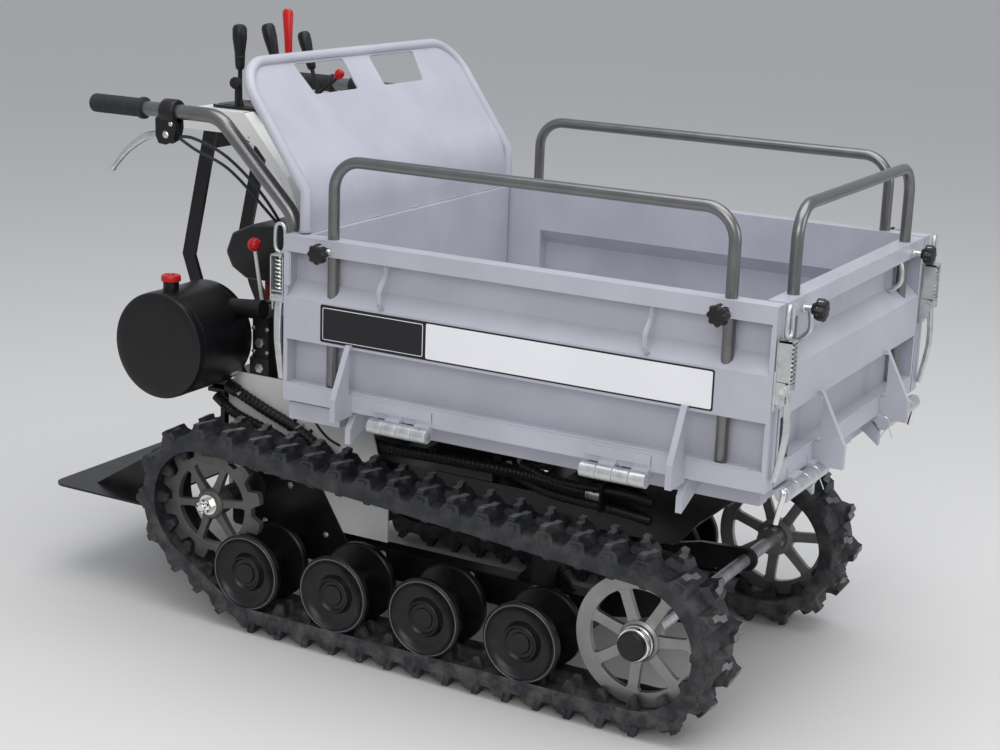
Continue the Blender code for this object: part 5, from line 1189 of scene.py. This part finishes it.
def oil_tank():
    """Welded drum with its filler neck, side port, brackets and gauge, and its red cap."""
    x, z, radius = -0.4849, 0.5346, 0.1025
    near, far = -0.365, -0.2
    fill_x, fill_y = x - 0.005, -0.315
    deep = far - near
    up, inward = (0, 0, 1), (0, 1, 0)
    piece = Piece("black_paint")
    body = [(0.0, 0.0), (0.0, radius - 0.02), (0.0006, radius - 0.008), (0.003, radius - 0.0022)]
    body += [(0.0065, radius - 0.0008), (0.02, radius - 0.0006)]
    body += [(deep - a, r) for a, r in reversed(body)]
    piece.turned(body, (x, near, z), inward, 72)
    for level in (0.0205, deep - 0.0205):
        seam = [(-0.0018, radius - 0.002), (0.0, radius), (0.0018, radius - 0.002)]
        piece.turned(seam, (x, near + level, z), inward, 72)
    neck = [(0.0, 0.016), (0.012, 0.016), (0.016, 0.015), (0.0345, 0.015)]
    piece.turned(neck, (fill_x, fill_y, z + radius - 0.022), up, 32)
    piece.turned([(0.0, 0.0185), (0.003, 0.0176)], (fill_x, fill_y, z + radius - 0.0045), up, 32)
    port, end = Vector((x + 0.07, -0.225, z + 0.06)), Vector((x + 0.1445, -0.225, z + 0.066))
    stub = [(0.0, 0.018), (0.05, 0.018), (0.051, 0.0188), (0.073, 0.0188), (0.0742, 0.0175), (0.0742, 0.0)]
    piece.turned(stub, port, end - port, 40)
    for low, high in (
        ((x - 0.04, -0.215, z - 0.06), (x + 0.02, -0.165, z)),
        ((x - 0.04, -0.173, DECK_TOP), (x + 0.02, -0.165, z)),
        ((x - 0.02, -0.173, DECK_TOP), (x + 0.02, -0.125, 0.4196)),
    ):
        piece.block(low, high)
    piece.use("bright_steel")
    for side in (-0.024, 0.01):
        piece.bolt((x + side, -0.1735, z - 0.085), OUT_RIGHT, 0.0062, 0.0045)
    piece.use("zinc")
    piece.block((x + 0.066, -0.236, z - 0.072), (x + 0.078, -0.214, z + 0.044))
    piece.make("oil_drum", "chassis", "oil_tank", bevel=0.0008)
    piece = Piece("red_plastic")
    cap = [(0.0, 0.0178), (0.001, 0.0184), (0.009, 0.0184), (0.0118, 0.0166), (0.0122, 0.012)]
    cap += [(0.0108, 0.01), (0.0108, 0.006), (0.0136, 0.005), (0.0138, 0.0)]
    piece.turned(cap, (fill_x, fill_y, z + radius + 0.0144), up, 48)
    for turn in full_turn(24):
        grip_x, grip_y = fill_x + 0.0181 * math.cos(turn), fill_y + 0.0176 * math.sin(turn)
        place = Vector((grip_x, grip_y, z + radius + 0.015))
        piece.bar(place, place + Vector((0, 0, 0.008)), 0.0009, 6)
    piece.make("red_cap", "chassis", "oil_cap", bevel=0.0003)


def valve():
    """Tipping valve block with ports, fittings and its ball-ended lever."""
    lever_x, ball_radius = -0.3809, 0.0132
    piece = Piece("engine_metal")
    piece.block((-0.4059, -0.182, DECK_TOP), (-0.3609, -0.132, 0.49))
    piece.block((-0.402, -0.178, 0.49), (-0.365, -0.136, 0.5716))
    piece.use("zinc")
    for z in (0.434, 0.47, 0.52):
        piece.turned([(0.0, 0.01), (0.007, 0.01), (0.0075, 0.0085)], (-0.3835, -0.176, z), OUT_RIGHT, 6)
    for x, z in ((-0.4, 0.548), (-0.368, 0.548), (-0.4, 0.502), (-0.368, 0.502)):
        piece.bolt((x, -0.1778, z), OUT_RIGHT, 0.0034, 0.0024)
    piece.use("white_paint")
    piece.bar((lever_x, -0.165, 0.5516), (lever_x, -0.2, 0.7116), 0.0036, 16)
    piece.use("red_plastic")
    turns = [math.pi * i / 12 for i in range(13)]
    ball = [(-ball_radius * math.cos(turn), ball_radius * math.sin(turn)) for turn in turns]
    piece.turned(ball, (lever_x, -0.2005, 0.7176), (0, 0, 1), 28)
    piece.make("valve_block", "chassis", "tipping_valve", bevel=0.0012)


def engine():
    """Small upright engine: shroud, cooling fins, pull starter, muffler and air filter."""
    start_x, start_z = -0.356, 0.506
    piece = Piece("engine_metal")
    piece.block((-0.45, -0.118, DECK_TOP), (-0.256, 0.13, DECK_TOP + 0.06))
    piece.block((-0.43, -0.1, DECK_TOP + 0.06), (-0.276, 0.11, 0.54))
    for i in range(9):
        z = 0.486 + 0.0105 * i
        piece.block((-0.456, -0.07, z), (-0.25, 0.09, z + 0.004))
    piece.use("black_paint")
    starter = [(0.0, 0.086), (0.012, 0.09), (0.034, 0.09), (0.046, 0.074), (0.05, 0.04), (0.05, 0.0)]
    piece.turned(starter, (start_x, -0.069, start_z), OUT_RIGHT, 48)
    for look, low, high in (
        ("black_paint", (-0.465, 0.02, 0.53), (-0.37, 0.138, 0.601)),
        ("red_paint", (-0.446, -0.079, 0.583), (-0.276, 0.118, 0.621)),
        ("raw_steel", (-0.35, 0.03, 0.535), (-0.248, 0.139, 0.598)),
    ):
        piece.use(look)
        piece.block(low, high)
    piece.use("zinc")
    for i in range(6):
        turn = math.radians(60 * i + 15)
        place = (start_x + 0.08 * math.cos(turn), -0.102, start_z + 0.08 * math.sin(turn))
        piece.bolt(place, OUT_RIGHT, 0.0042, 0.003)
    for x in (-0.435, -0.272):
        for y in (-0.105, 0.115):
            piece.bolt((x, y, DECK_TOP + 0.059), (0, 0, 1), 0.006, 0.005)
    piece.make("engine_unit", "chassis", "engine", bevel=0.003)


def fuel_tank():
    """Rounded moulded tank with its red badge plate and filler cap."""
    rows = [(-0.5279, 0.6716), (-0.5119, 0.7116), (-0.4679, 0.7316), (-0.3379, 0.7376), (-0.2979, 0.7216)]
    rows += [(-0.2829, 0.6716), (-0.2899, 0.6366), (-0.3179, 0.6219), (-0.4779, 0.6219), (-0.5129, 0.6416)]
    outline = rounded_loop(rows, 0.012, 4)
    x0, z0, underside = -0.4055, 0.682, 0.622
    # Distance from the middle plane and size there
    ends = ((0.11, 0.86), (0.107, 0.93), (0.1, 0.975), (0.088, 0.995), (0.003, 0.995), (0.003, 0.985))
    rings = []
    for y, size in [(-y, size) for y, size in ends] + list(reversed(ends)):
        rings.append([(x0 + (x - x0) * size, y, max(z0 + (z - z0) * size, underside)) for x, z in outline])
    piece = Piece("black_plastic")
    piece.loft(rings)
    cap = [(0.0, 0.0235), (0.012, 0.0235), (0.016, 0.022), (0.0205, 0.017), (0.0212, 0.0)]
    piece.turned(cap, (-0.3979, 0.0, 0.73), (0, 0, 1), 36, lobes=12, swell=0.0004)
    piece.use("red_paint")
    piece.block((-0.46, -0.09, 0.729), (-0.43, 0.09, 0.7318))
    piece.make("fuel_tank_shell", "chassis", "fuel_tank")


def upright_hose(piece, route, sides, size):
    """A hose along a route; size gives its radius at each point."""
    rings = []
    for i, point in enumerate(route):
        ahead = heading(route, i)
        side = (Vector((0.0, 0.0, 1.0)) - ahead * ahead.z).normalized()
        rings.append(hoop(point, side, ahead.cross(side), size(i), sides))
    piece.loft(rings)


def ribbed(piece, points, radius):
    """A ribbed hose along a smooth route, with a plain cuff at each end."""
    route = smooth_route(points, 26)
    upright_hose(piece, route, 14, lambda i: radius * (1.0 if i % 3 < 2 else 0.88))
    cuff = [(-0.002, 0.0), (-0.002, radius * 1.12), (0.022, radius * 1.12), (0.022, 0.0)]
    for end, ahead in ((route[0], route[3] - route[0]), (route[-1], route[-4] - route[-1])):
        piece.turned(cuff, end, ahead, 18)


def loose_hoses():
    """Hoses clipped along the right cover and those that sag between the deck and the front member."""
    cover, plate = -0.1892, -0.1915
    # Radius, then the points from the deck forwards
    runs = (
        (0.0115, (-0.4411, -0.201, 0.43), (-0.3589, -0.203, 0.399),
         (-0.2688, -0.203, 0.366), (-0.1902, -0.201, 0.318)),
        (0.01, (-0.47, -0.201, 0.404), (-0.4241, -0.203, 0.377),
         (-0.3277, -0.203, 0.35), (-0.23, -0.201, 0.312)),
        (
            0.0095, (0.2, -0.172, 0.38), (0.2742, -0.176, 0.364), (0.394, -0.176, 0.366),
            (0.448, -0.15, 0.352),
        ),
        (
            0.0095, (0.17, -0.158, 0.356), (0.2542, -0.166, 0.336), (0.374, -0.166, 0.33),
            (0.448, -0.15, 0.318),
        ),
    )
    piece = Piece("black_plastic")
    for radius, *points in runs:
        ribbed(piece, points, radius)
    # Black bars for the cover's slots, painting the shade in their openings, and the edge seam of the cover
    for low, high in (((-0.3081, 0.3599), (-0.2824, 0.3946)), ((-0.2702, 0.3445), (-0.2517, 0.3699))):
        piece.bar((low[0], cover, low[1]), (high[0], cover, high[1]), 0.0034, 10)
    edge = ((-0.2497, 0.4002), (-0.2384, 0.38), (-0.214, 0.36), (-0.1865, 0.3496))
    piece.pipe(smooth_route([(x, cover, z) for x, z in edge]), 0.0026, 8)
    piece.use("black_paint")
    # Black plate over the lower part of the cover, behind the sprocket
    case = [(-0.44, 0.144), (-0.156, 0.144), (-0.235, 0.27), (-0.44, 0.255)]
    piece.extrude(rounded_loop(case, 0.01, 3), "y", plate, -0.1886)
    piece.use("zinc")
    for x, z in ((-0.3, 0.25), (-0.215, 0.165), (-0.36, 0.165)):
        piece.bolt((x, plate, z), OUT_RIGHT, 0.005, 0.003)
    for x, z in ((-0.408, 0.414), (-0.272, 0.367)):
        piece.bar((x, -0.1886, z + 0.012), (x, -0.216, z + 0.008), 0.0028, 10)
    # Short tails from the two sagging hoses up to the deck
    for low, high in (
        ((0.2, -0.172, 0.38), (0.185, -0.15, 0.4)),
        ((0.17, -0.158, 0.356), (0.156, -0.142, 0.37)),
    ):
        middle = [(a + b) / 2 for a, b in zip(low, high)]
        piece.pipe(smooth_route([low, (middle[0] - 0.004, middle[1], middle[2] - 0.004), high]), 0.006, 12)
    piece.make("cover_hoses_right", "chassis", angle=50.0)


def hoses():
    """Spiral-wrapped hoses from the deck to the front member with crimped fittings."""
    rows = [
        (-0.2411, -0.133, 0.3636), (-0.1859, -0.152, 0.3616), (-0.1059, -0.166, 0.3576),
        (0.0441, -0.169, 0.3616),
    ]
    rows += [(0.1941, -0.172, 0.3636), (0.2941, -0.174, 0.3556), (0.3661, -0.174, 0.3536)]
    route = smooth_route(rows, 60)
    piece = Piece("black_plastic")
    upright_hose(piece, route, 18, lambda i: 0.0121 + 0.0007 * (1 if i % 4 < 3 else -1))
    piece.use("zinc")
    crimp = [
        (0.0, 0.0085), (0.0, 0.0128), (0.016, 0.0128), (0.018, 0.0128), (0.03, 0.0128), (0.031, 0.0118),
    ]
    for point, ahead in ((route[0], route[12] - route[0]), (route[-1], route[-12] - route[-1])):
        piece.turned(crimp, point, ahead, 24)
    piece.make("wrapped_hoses", "chassis", "hoses", angle=50.0)


def extras():
    """Gate hooks, the straps behind the sides' ends, brake cables and the footboard's stay rods."""
    piece = Piece("zinc")
    hook = ((-0.01, 0.004), (-0.003, -0.01), (-0.002, -0.036), (-0.013, -0.05), (-0.021, -0.056))
    for y in (-0.236, 0.236):
        piece.pipe(smooth_route([(FRONT + along, y, RIM_LOW + rise) for along, rise in hook]), 0.0042, 12)
    piece.make("gate_hooks", "gate")
    piece = Piece("box_paint")
    seam = (REAR + 0.0145, -HALF - 0.0008)
    piece.block((REAR + 0.002, -HALF - 0.003, 0.7), (REAR + 0.014, -HALF + 0.0005, 0.76))
    weld(piece, (*seam, 0.702), (*seam, 0.758), 0.0014)
    piece.make("end_strap_right", "side_right", twin=True)
    piece = Piece("rubber")
    for bend, end in ((0.0, (-0.33, -0.12, 0.64)), (0.02, (-0.345, -0.105, 0.64))):
        route = [(CLAMP_X + 0.01, -BAR_HALF, BAR_Z - 0.045), (-0.44, -0.3, 0.922 - bend)]
        route += [(-0.385, -0.275, 0.89 - bend), (-0.335, -0.235, 0.82 - bend), (-0.315, -0.18, 0.73), end]
        piece.pipe(smooth_route(route), 0.003, 10)
    piece.make("brake_cables_right", "chassis")
    piece = Piece("bright_steel")
    for y in (-0.15, 0.15):
        route = [(-0.5559, y, 0.276), (-0.605, y, 0.26), (-0.7, y, 0.199)]
        piece.pipe(rounded(route, 0.02, 5), 0.0032, 12)
    piece.make("footboard_stays", "footboard")


# Finish of CAD pieces whose slot does not say enough
SPECIAL = {"drive_sprocket_right": "cast", "drive_sprocket_left": "cast", "front_axle": "zinc"}


def paint_nodes():
    """Every CAD piece gets the finish of its material slot and softened edges."""
    for row in frame["record"]["subparts"]:
        look = SPECIAL.get(row["node"], row["material_slot"])
        node = nodes[row["node"]]
        for place in node.material_slots:
            place.material = finish(look)
        if not node.material_slots:
            node.data.materials.append(finish(look))
        soften(node, 0.0012)


camera()
studio()
paint_nodes()
tracks()
idlers()
sprockets()
running_gear()
rails()
knobs()
side_hinges()
gate_hinges()
handlebars()
brake_levers()
guard()
sign()
box_details()
latches()
console()
levers()
choke()
red_lever()
oil_tank()
valve()
engine()
fuel_tank()
hoses()
loose_hoses()
extras()
